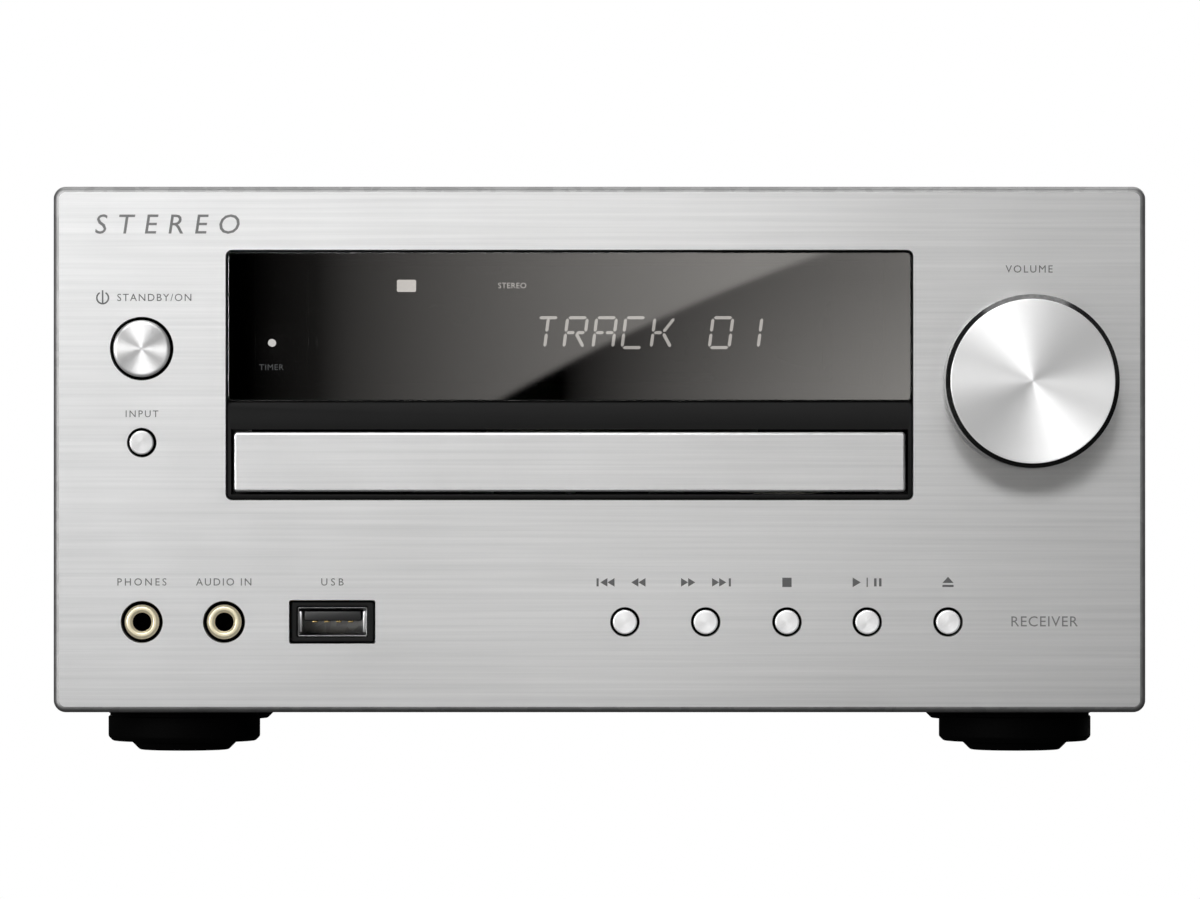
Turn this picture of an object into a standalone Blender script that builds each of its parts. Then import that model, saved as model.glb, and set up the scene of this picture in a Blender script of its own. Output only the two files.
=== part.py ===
"""A compact CD receiver, the main unit of a mini hi-fi system, in its real separate pieces.

+Z is up, the front panel faces -Y, and the origin is on the floor under the middle of the whole
object. Every figure here is in millimetres, and new_object turns them into metres. Pieces that
touch on the real object keep a gap of CLEAR.
"""

import math

import bmesh
import bpy
from mathutils import Matrix, Vector
from mathutils.geometry import delaunay_2d_cdt

MM = 0.001
CLEAR = 0.3

# Overall size
WIDTH = 215.0
HEIGHT = 111.9
FRONT = -144.0
REAR = 144.0

# Front panel, an aluminium plate that stands proud of the cabinet on every side
PANEL_FRONT = -130.0
PANEL_BACK = -125.0
PANEL_BOTTOM = 8.4
PANEL_RADIUS = 2.4
PANEL_CHAMFER = 1.2
BEHIND_PANEL = PANEL_BACK + CLEAR
SUBFRAME_BACK = -122.7
BEHIND_SUBFRAME = SUBFRAME_BACK + CLEAR

# Window with the display above and the disc tray below, left of the middle
WINDOW_X = -5.9
WINDOW_HALF = 67.65
WINDOW_LOW = 50.2
WINDOW_HIGH = 99.4
WINDOW_RADIUS = 1.2
DISPLAY_LOW = 69.7
FASCIA_HALF = 66.15
FASCIA_LOW = 51.8
FASCIA_HIGH = 63.6

# Controls and sockets on the front panel
KNOB_X, KNOB_Z, KNOB_RADIUS = 84.6, 73.5, 17.0
KNOB_FACE_RADIUS = 16.05
SHAFT_RADIUS = 3.0
STANDBY = (-90.1, 80.0)
STANDBY_RADIUS = 5.6
SMALL_RADIUS = 2.35
SMALL_BUTTONS = {
    "input_button": (-90.1, 61.5),
    "previous_button": (5.0, 26.2),
    "next_button": (20.9, 26.2),
    "stop_button": (36.9, 26.2),
    "play_button": (52.7, 26.2),
    "eject_button": (68.6, 26.2),
}
STANDBY_GAP = 0.6
BUTTON_GAP = 0.5
BUTTON_PROUD = 1.1
BUTTON_STEM_END = -121.4
SWITCH_TIP = -120.5
JACKS = {"phones_jack": (-90.1, 26.2), "audio_in_jack": (-73.9, 26.2)}
JACK_NOSE = 3.4
JACK_HOLE = 4.1
USB_X, USB_Z = -52.6, 26.2
USB_HALF_X, USB_HALF_Z = 8.45, 4.25

# Cabinet
CHASSIS_HALF = 104.3
COVER_HALF = 105.6
COVER_TOP = 111.4
SHEET = 1.0
PAN_LOW = 9.0
REAR_PANEL_FRONT = 129.0
REAR_PANEL_BACK = 130.0
FOOT_X, FOOT_Y, FOOT_RADIUS, FOOT_TOP = 83.3, 98.0, 15.2, 8.7
SCREW_Z = 16.0
SCREW_YS = {"front": -60.0, "rear": 80.0}

# Boards
CONTROL_FRONT, CONTROL_BACK = -116.0, -114.4
BOARD_HALF = 101.8
BOARD_LOW, BOARD_HIGH = 19.3, 20.9

# Disc drive: the tray runs along Y over a floor, and a hinged deck under it carries the turntable
DISC_Y = -57.5
LOADER_FRONT, LOADER_REAR = -113.5, 50.0
LOADER_HALF = 72.0
FLOOR_LOW, FLOOR_HIGH = 46.0, 48.0
WELL_LEFT, WELL_RIGHT, WELL_FRONT, WELL_REAR = -42.0, 54.0, -89.5, 38.0
LEG_X, LEG_SIZE = 66.0, 8.0
LEG_YS = (-98.0, 42.0)
TRAY_HALF = 64.2
TRAY_FRONT, TRAY_REAR = -126.1, 42.0
TRAY_LOW, TRAY_HIGH = 53.4, 60.8
TRAY_UNDERSIDE = 55.6
DISC_RECESS, DISC_FLOOR = 60.5, 57.6
SMALL_RECESS, SMALL_FLOOR = 40.8, 56.7
TRAY_SLOT_HALF = 17.0
DECK_LOW, DECK_HIGH = 49.0, 51.0
DECK_LEFT, DECK_RIGHT, DECK_FRONT, DECK_REAR = -34.0, 50.0, -82.0, 36.0
HINGE_Y, HINGE_Z, HINGE_RADIUS = 40.0, 50.0, 1.5
CAM_X, CAM_Z, CAM_TRAVEL, CAM_DROP = -16.0, 46.0, 16.0, 7.1
PICKUP_Y, PICKUP_HALF_Y = -34.5, 10.5
ROD_X, ROD_Z, ROD_RADIUS = 19.0, 46.5, 1.5
ROD_FRONT, ROD_REAR = -52.0, 30.0

# Gears: half a tooth's width at its root and tip as shares of the pitch, then teeth, module and place
ROOT_SHARE, TIP_SHARE = 0.29, 0.13
DEDENDUM = 1.25
LOAD_TEETH, LOAD_MODULE = 16, 1.2
LOAD_PITCH = LOAD_TEETH * LOAD_MODULE / 2
LOAD_X, LOAD_Y = 54.0 - LOAD_PITCH, -100.5
LOAD_RACK_LOW = 51.8
PULLEY_RADIUS, MOTOR_PULLEY_RADIUS = 12.0, 5.0
PULLEY_LOW, PULLEY_HIGH = 48.4, 50.9
MOTOR_X = 6.0
FEED_MODULE = 0.8
FEED_SMALL, FEED_BIG, FEED_PINION = 15, 24, 10
FEED_RACK_X = 27.0
FEED_X = FEED_RACK_X + FEED_SMALL * FEED_MODULE / 2
FEED_Y = -16.0
PINION_Y = FEED_Y + (FEED_BIG + FEED_PINION) * FEED_MODULE / 2
FEED_LOW, FEED_STEP, FEED_HIGH = 51.4, 53.3, 54.9

# Rear sockets and fan, as x and z of their middles
FAN_X, FAN_Z, FAN_HALF, FAN_DUCT = 5.0, 80.0, 25.0, 23.5
FAN_FRONT, FAN_BACK = 114.0, REAR_PANEL_FRONT - CLEAR
FAN_BLADES = 7
SPEAKER_X, SPEAKER_Z = 2.0, 32.0
SPEAKER_SPREAD = (-18.0, -6.0, 6.0, 18.0)
RCA_X, RCA_Z, RCA_PITCH = 62.0, 36.0, 12.0
ANTENNA_X, ANTENNA_Z = 90.0, 31.0
MAINS_X, MAINS_Z = -84.0, 30.0

# Colour, roughness and metallic value of each finish
FINISHES = {
    "brushed_aluminium": ((0.78, 0.79, 0.79), 0.34, 1.0),
    "spun_aluminium": ((0.86, 0.86, 0.86), 0.22, 1.0),
    "cover_paint": ((0.52, 0.53, 0.54), 0.42, 0.0),
    "rear_paint": ((0.03, 0.03, 0.032), 0.5, 0.0),
    "zinc_steel": ((0.6, 0.61, 0.6), 0.38, 1.0),
    "black_plastic": ((0.02, 0.02, 0.021), 0.4, 0.0),
    "smoked_acrylic": ((0.01, 0.01, 0.012), 0.05, 0.0),
    "foot_rubber": ((0.018, 0.018, 0.018), 0.7, 0.0),
    "screw_steel": ((0.1, 0.1, 0.1), 0.35, 1.0),
    "gold_plate": ((0.83, 0.64, 0.3), 0.25, 1.0),
    "white_plastic": ((0.78, 0.77, 0.72), 0.45, 0.0),
    "circuit_board": ((0.05, 0.2, 0.09), 0.5, 0.0),
    "copper": ((0.62, 0.3, 0.16), 0.4, 1.0),
    "heat_sink_aluminium": ((0.6, 0.61, 0.62), 0.45, 1.0),
    "polished_steel": ((0.75, 0.75, 0.75), 0.15, 1.0),
    "belt_rubber": ((0.015, 0.015, 0.015), 0.6, 0.0),
    "cable_grey": ((0.45, 0.46, 0.48), 0.5, 0.0),
    "display_glass": ((0.04, 0.05, 0.05), 0.1, 0.0),
}

# Where a point (u, v) of an outline at a level goes, for each axis that a solid is drawn along
DIRECTIONS = {
    "X": lambda u, v, level: (level, u, v),
    "Y": lambda u, v, level: (u, level, v),
    "Z": lambda u, v, level: (u, v, level),
}


BOX_FACES = ((0, 1, 2, 3), (4, 5, 6, 7), (0, 1, 5, 4), (1, 2, 6, 5), (2, 3, 7, 6), (3, 0, 4, 7))


# Outlines, as lists of (u, v) points


def rectangle(left, right, low, high):
    return [(left, low), (right, low), (right, high), (left, high)]


def centred(x, z, half_x, half_z):
    return rectangle(x - half_x, x + half_x, z - half_z, z + half_z)


def arc(centre, radius, start, end, steps):
    """Points on an arc from start to end degrees, both included."""
    found = []
    for step in range(steps + 1):
        angle = math.radians(start + (end - start) * step / steps)
        x = centre[0] + radius * math.cos(angle)
        found.append((x, centre[1] + radius * math.sin(angle)))
    return found


def circle(centre, radius, sides=20):
    return arc(centre, radius, 0, 360, sides)[:-1]


def rounded(left, right, low, high, radius, steps=4):
    """A rectangle with round corners."""
    corners = (
        ((left + radius, low + radius), 180),
        ((right - radius, low + radius), 270),
        ((right - radius, high - radius), 0),
        ((left + radius, high - radius), 90),
    )
    found = []
    for centre, start in corners:
        found += arc(centre, radius, start, start + 90, steps)
    return found


def wrapped(first, first_radius, second, second_radius, steps=10):
    """The outline round two circles, as a belt runs: straight tangents and an arc at each end."""
    line = Vector(second) - Vector(first)
    heading = math.degrees(math.atan2(line.y, line.x))
    lean = math.degrees(math.acos((first_radius - second_radius) / line.length))
    back = arc(first, first_radius, heading + lean, heading + 360 - lean, steps)
    return back + arc(second, second_radius, heading - lean, heading + lean, steps)


def toothed(centre, teeth, module, phase=0.0):
    """A spur gear. With no phase, a gap between two teeth faces +X."""
    pitch = 360 / teeth
    root = teeth * module / 2 - DEDENDUM * module
    tip = teeth * module / 2 + module
    found = []
    for tooth in range(teeth):
        middle = phase + (tooth + 0.5) * pitch
        for radius, turn in ((root, -ROOT_SHARE), (tip, -TIP_SHARE), (tip, TIP_SHARE), (root, ROOT_SHARE)):
            angle = middle + turn * pitch
            found += arc(centre, radius, angle, angle, 1)[:1]
    return found


def rack(pitch_line, back, start, end, module, anchor):
    """A toothed bar along Y, its teeth pointing away from back, with one tooth at anchor."""
    pitch = math.pi * module
    side = 1 if pitch_line > back else -1
    root = pitch_line - side * DEDENDUM * module
    tip = pitch_line + side * module
    first = math.ceil((start - anchor) / pitch + 0.5)
    last = math.floor((end - anchor) / pitch - 0.5)
    found = [(back, end), (back, start), (root, start)]
    for tooth in range(first, last + 1):
        middle = anchor + tooth * pitch
        for x, shift in ((root, -ROOT_SHARE), (tip, -TIP_SHARE), (tip, TIP_SHARE), (root, ROOT_SHARE)):
            found.append((x, middle + shift * pitch))
    return found + [(root, end)]


# Solids


def inside(point, outline):
    """Whether a point is inside an outline, by counting the edges that a ray to +U crosses."""
    u, v = point
    crossings = 0
    for (u0, v0), (u1, v1) in zip(outline, outline[1:] + outline[:1]):
        if (v0 > v) != (v1 > v) and u < u0 + (v - v0) / (v1 - v0) * (u1 - u0):
            crossings += 1
    return crossings % 2 == 1


def triangles(outline, holes):
    """The outline less its holes as triangles of point numbers, counted through every loop."""
    loops = (list(outline), *[list(hole) for hole in holes])
    points = [Vector(point) for loop in loops for point in loop]
    edges = []
    first = 0
    for loop in loops:
        count = len(loop)
        edges += [(first + i, first + (i + 1) % count) for i in range(count)]
        first += count
    places, _, faces, origins, _, _ = delaunay_2d_cdt(points, edges, [], 1, 1e-6)
    found = []
    for face in faces:
        middle = sum((places[i] for i in face), Vector((0, 0))) / 3
        if inside(middle, loops[0]) and not any(inside(middle, hole) for hole in loops[1:]):
            found.append([origins[i][0] for i in face])
    return found


def new_object(points, faces):
    """A mesh object from points in millimetres, with its faces turned outwards."""
    mesh = bpy.data.meshes.new("solid")
    mesh.from_pydata([Vector(point) * MM for point in points], [], faces)
    work = bmesh.new()
    work.from_mesh(mesh)
    bmesh.ops.recalc_face_normals(work, faces=work.faces)
    work.to_mesh(mesh)
    work.free()
    solid = bpy.data.objects.new("solid", mesh)
    bpy.context.collection.objects.link(solid)
    return solid


def stack(outlines, levels, axis="Z", holes=()):
    """A solid through outlines of equal length, one at each level, with straight holes."""
    points = []
    faces = []

    def ring(outline, level):
        first = len(points)
        points.extend(DIRECTIONS[axis](u, v, level) for u, v in outline)
        return list(range(first, first + len(outline)))

    def wall(lower, upper):
        for i in range(len(lower)):
            j = (i + 1) % len(lower)
            faces.append((lower[i], lower[j], upper[j], upper[i]))

    rings = [ring(outline, level) for outline, level in zip(outlines, levels)]
    for lower, upper in zip(rings, rings[1:]):
        wall(lower, upper)
    ends = ([rings[0]], [rings[-1]])
    for hole in holes:
        lower, upper = ring(hole, levels[0]), ring(hole, levels[-1])
        wall(lower, upper)
        ends[0].append(lower)
        ends[1].append(upper)
    for loops, outline in zip(ends, (outlines[0], outlines[-1])):
        order = [i for loop in loops for i in loop]
        for triangle in triangles(outline, holes):
            faces.append([order[i] for i in triangle])
    return new_object(points, faces)


def prism(outline, start, end, axis="Z", holes=()):
    return stack((outline, outline), (start, end), axis, holes)


def boxes(*sizes):
    """One object of separate boxes, each given as x, x, y, y, z, z."""
    points = []
    faces = []
    for x0, x1, y0, y1, z0, z1 in sizes:
        first = len(points)
        for z in (z0, z1):
            points += [(x0, y0, z), (x1, y0, z), (x1, y1, z), (x0, y1, z)]
        for face in BOX_FACES:
            faces.append([first + corner for corner in face])
    return new_object(points, faces)


def turned(profile, centre, axis="Z", sides=20):
    """A profile of (radius, level) points turned about an axis through centre (u, v).

    A profile that starts and ends on the axis closes there, and any other closes on itself."""
    points = []
    rings = []
    for radius, level in profile:
        first = len(points)
        ring = [centre] if radius == 0 else circle(centre, radius, sides)
        points.extend(DIRECTIONS[axis](u, v, level) for u, v in ring)
        rings.append(range(first, first + len(ring)))
    faces = []
    pairs = list(zip(rings, rings[1:]))
    if profile[0][0] > 0:
        pairs.append((rings[-1], rings[0]))
    for lower, upper in pairs:
        for i in range(sides):
            j = (i + 1) % sides
            corners = [lower[i % len(lower)], lower[j % len(lower)]]
            corners += [upper[j % len(upper)], upper[i % len(upper)]]
            face = list(dict.fromkeys(corners))
            if len(face) > 2:
                faces.append(face)
    return new_object(points, faces)


def rod(centre, radius, start, end, axis="Z", sides=16):
    return prism(circle(centre, radius, sides), start, end, axis)


def combined(solid, tools, operation):
    """The solid with each tool joined to it or cut from it. The tools are used up."""
    for tool in tools:
        modifier = solid.modifiers.new(operation.lower(), "BOOLEAN")
        modifier.operation = operation
        modifier.solver = "EXACT"
        modifier.object = tool
    graph = bpy.context.evaluated_depsgraph_get()
    result = bpy.data.meshes.new_from_object(solid.evaluated_get(graph))
    solid.modifiers.clear()
    used = [solid.data, *[tool.data for tool in tools]]
    solid.data = result
    for tool in tools:
        bpy.data.objects.remove(tool)
    for mesh in used:
        bpy.data.meshes.remove(mesh)
    return solid


def joined(solid, *tools):
    return combined(solid, tools, "UNION")


def cut(solid, *tools):
    return combined(solid, tools, "DIFFERENCE")


def material(finish):
    """The named finish as a Principled material, made once."""
    found = bpy.data.materials.get(finish)
    if found:
        return found
    colour, roughness, metallic = FINISHES[finish]
    found = bpy.data.materials.new(finish)
    found.use_nodes = True
    shader = found.node_tree.nodes["Principled BSDF"]
    shader.inputs["Base Color"].default_value = (*colour, 1)
    shader.inputs["Roughness"].default_value = roughness
    shader.inputs["Metallic"].default_value = metallic
    return found


def empty(name, place=(0, 0, 0), parent=None):
    """An empty that holds a group of pieces, at a point given in the world's frame."""
    holder = bpy.data.objects.new(name, None)
    holder.empty_display_size = 10 * MM
    bpy.context.collection.objects.link(holder)
    put(holder, place, parent)
    return holder


def put(obj, place, parent):
    """Puts the object at a world point, under its parent. No empty is turned or scaled."""
    obj.parent = parent
    world = Vector(place) * MM
    above = parent
    while above:
        world -= above.location
        above = above.parent
    obj.location = world


def finish(solid, name, finish_name, parent, origin=(0, 0, 0)):
    """Names the solid, gives it its material, and moves its origin to a point in the world."""
    solid.name = name
    solid.data.name = name
    shift = Vector(origin) * MM
    for vertex in solid.data.vertices:
        vertex.co -= shift
    solid.data.materials.clear()
    solid.data.materials.append(material(finish_name))
    solid.data.shade_smooth()
    solid.data.set_sharp_from_angle(angle=math.radians(35))
    put(solid, origin, parent)
    return solid


def drive_x(offset):
    """A place across the disc drive, whose middle is the window's."""
    return WINDOW_X + offset


def across(low, high):
    return drive_x(low), drive_x(high)


# Cabinet


def front_panel(parent):
    """The aluminium plate with its bevelled edge and the holes for the controls."""
    half = WIDTH / 2
    inset = PANEL_CHAMFER
    full = rounded(-half, half, PANEL_BOTTOM, HEIGHT, PANEL_RADIUS)
    face = rounded(
        -half + inset, half - inset, PANEL_BOTTOM + inset, HEIGHT - inset, PANEL_RADIUS - inset
    )
    window = rounded(*across(-WINDOW_HALF, WINDOW_HALF), WINDOW_LOW, WINDOW_HIGH, WINDOW_RADIUS)
    holes = [window, circle((KNOB_X, KNOB_Z), 5.0), circle(STANDBY, STANDBY_RADIUS + STANDBY_GAP, 32)]
    holes += [circle(place, SMALL_RADIUS + BUTTON_GAP) for place in SMALL_BUTTONS.values()]
    holes += [circle(place, JACK_HOLE) for place in JACKS.values()]
    holes.append(centred(USB_X, USB_Z, USB_HALF_X, USB_HALF_Z))
    levels = (PANEL_BACK, PANEL_FRONT + 1.0, PANEL_FRONT)
    plate = stack((full, full, face), levels, "Y", holes)
    return finish(plate, "front_panel", "brushed_aluminium", parent)


def window_bezel(parent):
    """The black frame behind the window: a flange, a body in the window and a lower front."""
    edge = WINDOW_HALF - CLEAR
    low, high = WINDOW_LOW + CLEAR, WINDOW_HIGH - CLEAR
    flange = prism(rectangle(*across(-72, 72), 46.5, 103.5), BEHIND_PANEL, SUBFRAME_BACK, "Y")
    body = prism(rounded(*across(-edge, edge), low, high, 0.9), -127.4, -124.4, "Y")
    lower = prism(rounded(*across(-edge, edge), low, DISPLAY_LOW - CLEAR, 0.9), -129.4, -127.0, "Y")
    solid = joined(flange, body, lower)
    sight = prism(rectangle(*across(-62, 62), 72.5, 97.5), -132, -120, "Y")
    mouth = prism(rectangle(*across(-66.65, 66.65), 51.3, 64.1), -132, -120, "Y")
    return finish(cut(solid, sight, mouth), "window_bezel", "black_plastic", parent)


def display_window(parent):
    edge = WINDOW_HALF - CLEAR
    pane = prism(
        rounded(*across(-edge, edge), DISPLAY_LOW, WINDOW_HIGH - CLEAR, 0.9), -129.7, -127.7, "Y"
    )
    return finish(pane, "display_window", "smoked_acrylic", parent)


def front_subframe(parent):
    """The black frame behind the panel: a plate with a wall round it that meets the cabinet."""
    low, high = PAN_LOW + 0.2, 109.8
    outline = rectangle(-CHASSIS_HALF, CHASSIS_HALF, low, high)
    solid = prism(outline, BEHIND_PANEL, -112, "Y")
    wall = 2.0
    inner = CHASSIS_HALF - wall
    tools = [prism(rectangle(-inner, inner, low + wall, high - wall), SUBFRAME_BACK, -111, "Y")]
    openings = [
        rectangle(*across(-72.5, 72.5), 46.0, 104.0),
        circle((KNOB_X, KNOB_Z), 8.0),
        circle(STANDBY, 7.4),
        centred(USB_X, USB_Z, USB_HALF_X + 0.2, USB_HALF_Z + 0.2),
    ]
    openings += [circle(place, 4.3, 12) for place in SMALL_BUTTONS.values()]
    openings += [circle(place, 5.0, 12) for place in JACKS.values()]
    tools += [prism(opening, -126, -120, "Y") for opening in openings]
    return finish(cut(solid, *tools), "front_subframe", "black_plastic", parent)


def top_cover(parent):
    """The U-shaped sheet over the top and both sides, with its vents."""
    inner_half = COVER_HALF - SHEET
    bend = 2.0
    low = PAN_LOW + 0.4
    outer_top = arc((COVER_HALF - bend, COVER_TOP - bend), bend, 0, 90, 4)
    inner_top = arc((COVER_HALF - bend, COVER_TOP - bend), bend - SHEET, 90, 0, 4)
    right = [(COVER_HALF, low), *outer_top]
    left = [(-x, z) for x, z in reversed(right)]
    inner_right = [*inner_top, (inner_half, low)]
    inner_left = [(-x, z) for x, z in reversed(inner_right)]
    sheet = prism(right + left + inner_left + inner_right, BEHIND_PANEL, 130.6, "Y")
    vents = []
    for column in range(12):
        x = -44 + column * 8
        vents.append((x - 1.5, x + 1.5, 62, 106, 100, 120))
    for column in range(8):
        y = 40 + column * 9
        vents.append((-120, 120, y - 1.5, y + 1.5, 78, 100))
    holes = [rod((y, SCREW_Z), 1.8, -120, 120, "X", 16) for y in SCREW_YS.values()]
    return finish(cut(sheet, boxes(*vents), *holes), "top_cover", "cover_paint", parent)


def bottom_chassis(parent):
    """The steel pan with folded sides, six board pillars and vent slots."""
    half, front, rear = CHASSIS_HALF, -111.7, REAR_PANEL_FRONT - CLEAR
    floor = PAN_LOW + SHEET
    pan = boxes((-half, half, front, rear, PAN_LOW, floor))
    folds = [
        boxes((-half, -half + SHEET, front, rear, PAN_LOW + 0.4, 22)),
        boxes((half - SHEET, half, front, rear, PAN_LOW + 0.4, 22)),
        boxes((-half + 0.5, half - 0.5, rear - SHEET, rear, PAN_LOW + 0.5, 17)),
    ]
    places = ((-94, -60), (94, -60), (-94, 40), (94, 40), (-20, 118), (70, 118))
    pillars = [rod(place, 3.0, floor - 0.5, BOARD_LOW - CLEAR, sides=12) for place in places]
    solid = joined(pan, *folds, *pillars)
    vents = []
    for column in range(7):
        x = -24 + column * 8
        vents += [(x - 1.5, x + 1.5, y, y + 30, 5, 12) for y in (-30, 70)]
    holes = [rod((y, SCREW_Z), 1.7, -120, 120, "X", 16) for y in SCREW_YS.values()]
    return finish(cut(solid, boxes(*vents), *holes), "bottom_chassis", "zinc_steel", parent)


def rear_panel(parent):
    """The painted back plate, its folded top lip, and the openings for the sockets and the fan."""
    half, low, high = 104.2, PAN_LOW, 110.1
    holes = [
        centred(SPEAKER_X, SPEAKER_Z, 26.4, 8.4),
        centred(MAINS_X, MAINS_Z, 11.4, 7.4),
        circle((ANTENNA_X, ANTENNA_Z), 5.4),
    ]
    holes += [circle(place, 4.8) for place in rca_places()]
    for row in range(-3, 4):
        z = FAN_Z + row * 6
        reach = math.sqrt(22.0**2 - (row * 6) ** 2) - 1.5
        holes.append(centred(FAN_X, z, reach, 1.9))
    for column in range(7):
        holes.append(centred(-80 + column * 7, 79.5, 1.5, 12.5))
    plate = prism(rectangle(-half, half, low, high), REAR_PANEL_FRONT, REAR_PANEL_BACK, "Y", holes)
    lip = boxes((-100, 100, 121, REAR_PANEL_FRONT + 0.5, high - 1.2, high - 0.2))
    return finish(joined(plate, lip), "rear_panel", "rear_paint", parent)


def foot(name, place, parent):
    """A round foot with a smaller pad beneath, which is all that touches the floor."""
    profile = [
        (0, 0), (8.9, 0), (10.6, 1.8), (FOOT_RADIUS - 0.8, 1.8), (FOOT_RADIUS, 2.6),
        (FOOT_RADIUS, FOOT_TOP - 0.7), (FOOT_RADIUS - 0.7, FOOT_TOP), (0, FOOT_TOP),
    ]
    solid = turned(profile, place, sides=28)
    return finish(solid, name, "foot_rubber", parent, (*place, 0))


def feet(parent):
    for side, x in (("left", -FOOT_X), ("right", FOOT_X)):
        for end, y in (("front", -FOOT_Y), ("rear", FOOT_Y)):
            foot(f"foot_{end}_{side}", (x, y), parent)


def cover_screw(name, side, y, parent):
    """A pan-head screw that enters the cabinet's side from outside, with a cross recess."""
    tip, seat = 102.2, COVER_HALF + CLEAR
    head = seat + 1.5
    shank, rim = 1.4, 3.2
    profile = [
        (0, tip), (shank, tip), (shank, seat), (rim, seat), (rim, head - 0.5), (rim - 0.6, head), (0, head),
    ]
    profile = [(radius, side * level) for radius, level in profile]
    solid = turned(profile, (y, SCREW_Z), "X", 16)
    start, end = sorted((side * (head - 0.9), side * (head + 1)))
    cross = joined(
        boxes((start, end, y - 1.8, y + 1.8, SCREW_Z - 0.35, SCREW_Z + 0.35)),
        boxes((start, end, y - 0.35, y + 0.35, SCREW_Z - 1.8, SCREW_Z + 1.8)),
    )
    return finish(cut(solid, cross), name, "screw_steel", parent, (side * seat, y, SCREW_Z))


def cover_screws(parent):
    for side_name, side in (("left", -1), ("right", 1)):
        for end, y in SCREW_YS.items():
            cover_screw(f"cover_screw_{end}_{side_name}", side, y, parent)


# Controls


def volume_knob(parent):
    """A hollow knob with a hub whose bore takes the shaft."""
    face, skirt = FRONT, PANEL_FRONT - 0.7
    profile = [
        (0, face), (KNOB_FACE_RADIUS, face), (KNOB_RADIUS, face + 1.0), (KNOB_RADIUS, skirt),
        (KNOB_RADIUS - 1.6, skirt), (KNOB_RADIUS - 1.6, face + 3.0), (5.2, face + 3.0),
        (5.2, skirt - 1.3), (SHAFT_RADIUS + 0.15, skirt - 1.3), (SHAFT_RADIUS + 0.15, face + 2.7),
        (0, face + 2.7),
    ]
    solid = turned(profile, (KNOB_X, KNOB_Z), "Y", 40)
    return finish(solid, "volume_knob", "spun_aluminium", parent, (KNOB_X, face, KNOB_Z))


def encoder_shaft(parent):
    solid = rod((KNOB_X, KNOB_Z), SHAFT_RADIUS, -141.0, -119.0, "Y", 24)
    return finish(solid, "encoder_shaft", "polished_steel", parent, (KNOB_X, -141.0, KNOB_Z))


def volume_encoder(parent):
    """The rotary encoder: a square body and the bushing that the shaft turns in."""
    left, right, low, high = KNOB_X - 6.2, KNOB_X + 6.2, KNOB_Z - 6.5, KNOB_Z + 6.5
    body = boxes((left, right, BEHIND_SUBFRAME, CONTROL_FRONT - CLEAR, low, high))
    bushing = rod((KNOB_X, KNOB_Z), 4.4, -129.0, -122.0, "Y")
    bore = rod((KNOB_X, KNOB_Z), SHAFT_RADIUS + 0.15, -131.0, -118.0, "Y")
    return finish(cut(joined(body, bushing), bore), "volume_encoder", "zinc_steel", parent)


def button(name, place, radius, flange, stem, sides, parent):
    """A push button: a cap through the panel, a flange behind it and a stem to its switch."""
    face = PANEL_FRONT - BUTTON_PROUD
    edge = radius * 0.1
    profile = [
        (0, face), (radius - edge, face), (radius, face + edge), (radius, BEHIND_PANEL),
        (flange, BEHIND_PANEL), (flange, BEHIND_PANEL + 1.0), (stem, BEHIND_PANEL + 1.0),
        (stem, BUTTON_STEM_END), (0, BUTTON_STEM_END),
    ]
    solid = turned(profile, place, "Y", sides)
    return finish(solid, name, "spun_aluminium", parent, (place[0], face, place[1]))


def buttons(parent):
    button("standby_button", STANDBY, STANDBY_RADIUS, 7.0, 2.2, 24, parent)
    for name, place in SMALL_BUTTONS.items():
        button(name, place, SMALL_RADIUS, 3.8, 1.2, 16, parent)


def control_board(parent):
    """The upright board behind the panel, with a tray opening, socket notches and switches."""
    low, high, notch = 12.5, 107.0, 33.5
    opening = rectangle(*across(-68, 68), 49.5, 65.0)
    outline = rectangle(-BOARD_HALF, BOARD_HALF, low, high)
    board = prism(outline, CONTROL_FRONT, CONTROL_BACK, "Y", [opening])
    switches = []
    for x, z in (STANDBY, *SMALL_BUTTONS.values()):
        switches.append(prism(centred(x, z, 3.1, 3.1), -119.2, CONTROL_FRONT + 0.4, "Y"))
        switches.append(rod((x, z), 1.7, SWITCH_TIP, -119.0, "Y", 12))
    notches = boxes(
        (-97.5, -67, -120, -110, low - 1, notch), (-62.5, -42.7, -120, -110, low - 1, notch)
    )
    solid = cut(joined(board, *switches), notches)
    return finish(solid, "control_board", "circuit_board", parent)


def display_tube(parent):
    """The glass fluorescent tube behind the window, thicker at its sealed rim."""
    glass = prism(rounded(*across(-50, 50), 75.0, 95.0, 1.5), BEHIND_SUBFRAME, -118.0, "Y")
    rim = prism(rounded(*across(-52, 52), 73.5, 96.5, 1.5), -118.6, CONTROL_FRONT - CLEAR, "Y")
    return finish(joined(glass, rim), "display_tube", "display_glass", parent)


def headphone_jack(name, place, parent):
    x, z = place
    body = boxes((x - 5, x + 5, BEHIND_SUBFRAME, -107, BOARD_HIGH + CLEAR, 32))
    nose = rod(place, JACK_NOSE, -129.8, -122.0, "Y")
    bore = rod(place, 1.8, -131, -112, "Y")
    return finish(cut(joined(body, nose), bore), name, "gold_plate", parent)


def usb_socket(parent):
    """The socket's collar in the panel, the body behind it, and the tongue in its mouth."""
    x, z = USB_X, USB_Z
    collar = prism(centred(x, z, USB_HALF_X - CLEAR, USB_HALF_Z - CLEAR), -129.0, -121.0, "Y")
    body = boxes((x - 7.2, x + 7.2, -121.4, -108, BOARD_HIGH + CLEAR, 31.2))
    mouth = boxes((x - 6.6, x + 6.6, -131, -112, z - 2.65, z + 2.65))
    tongue = boxes((x - 5.6, x + 5.6, -127.6, -111, z + 0.2, z + 2.1))
    solid = joined(cut(joined(collar, body), mouth), tongue)
    return finish(solid, "usb_socket", "zinc_steel", parent)


# Disc drive


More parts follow.
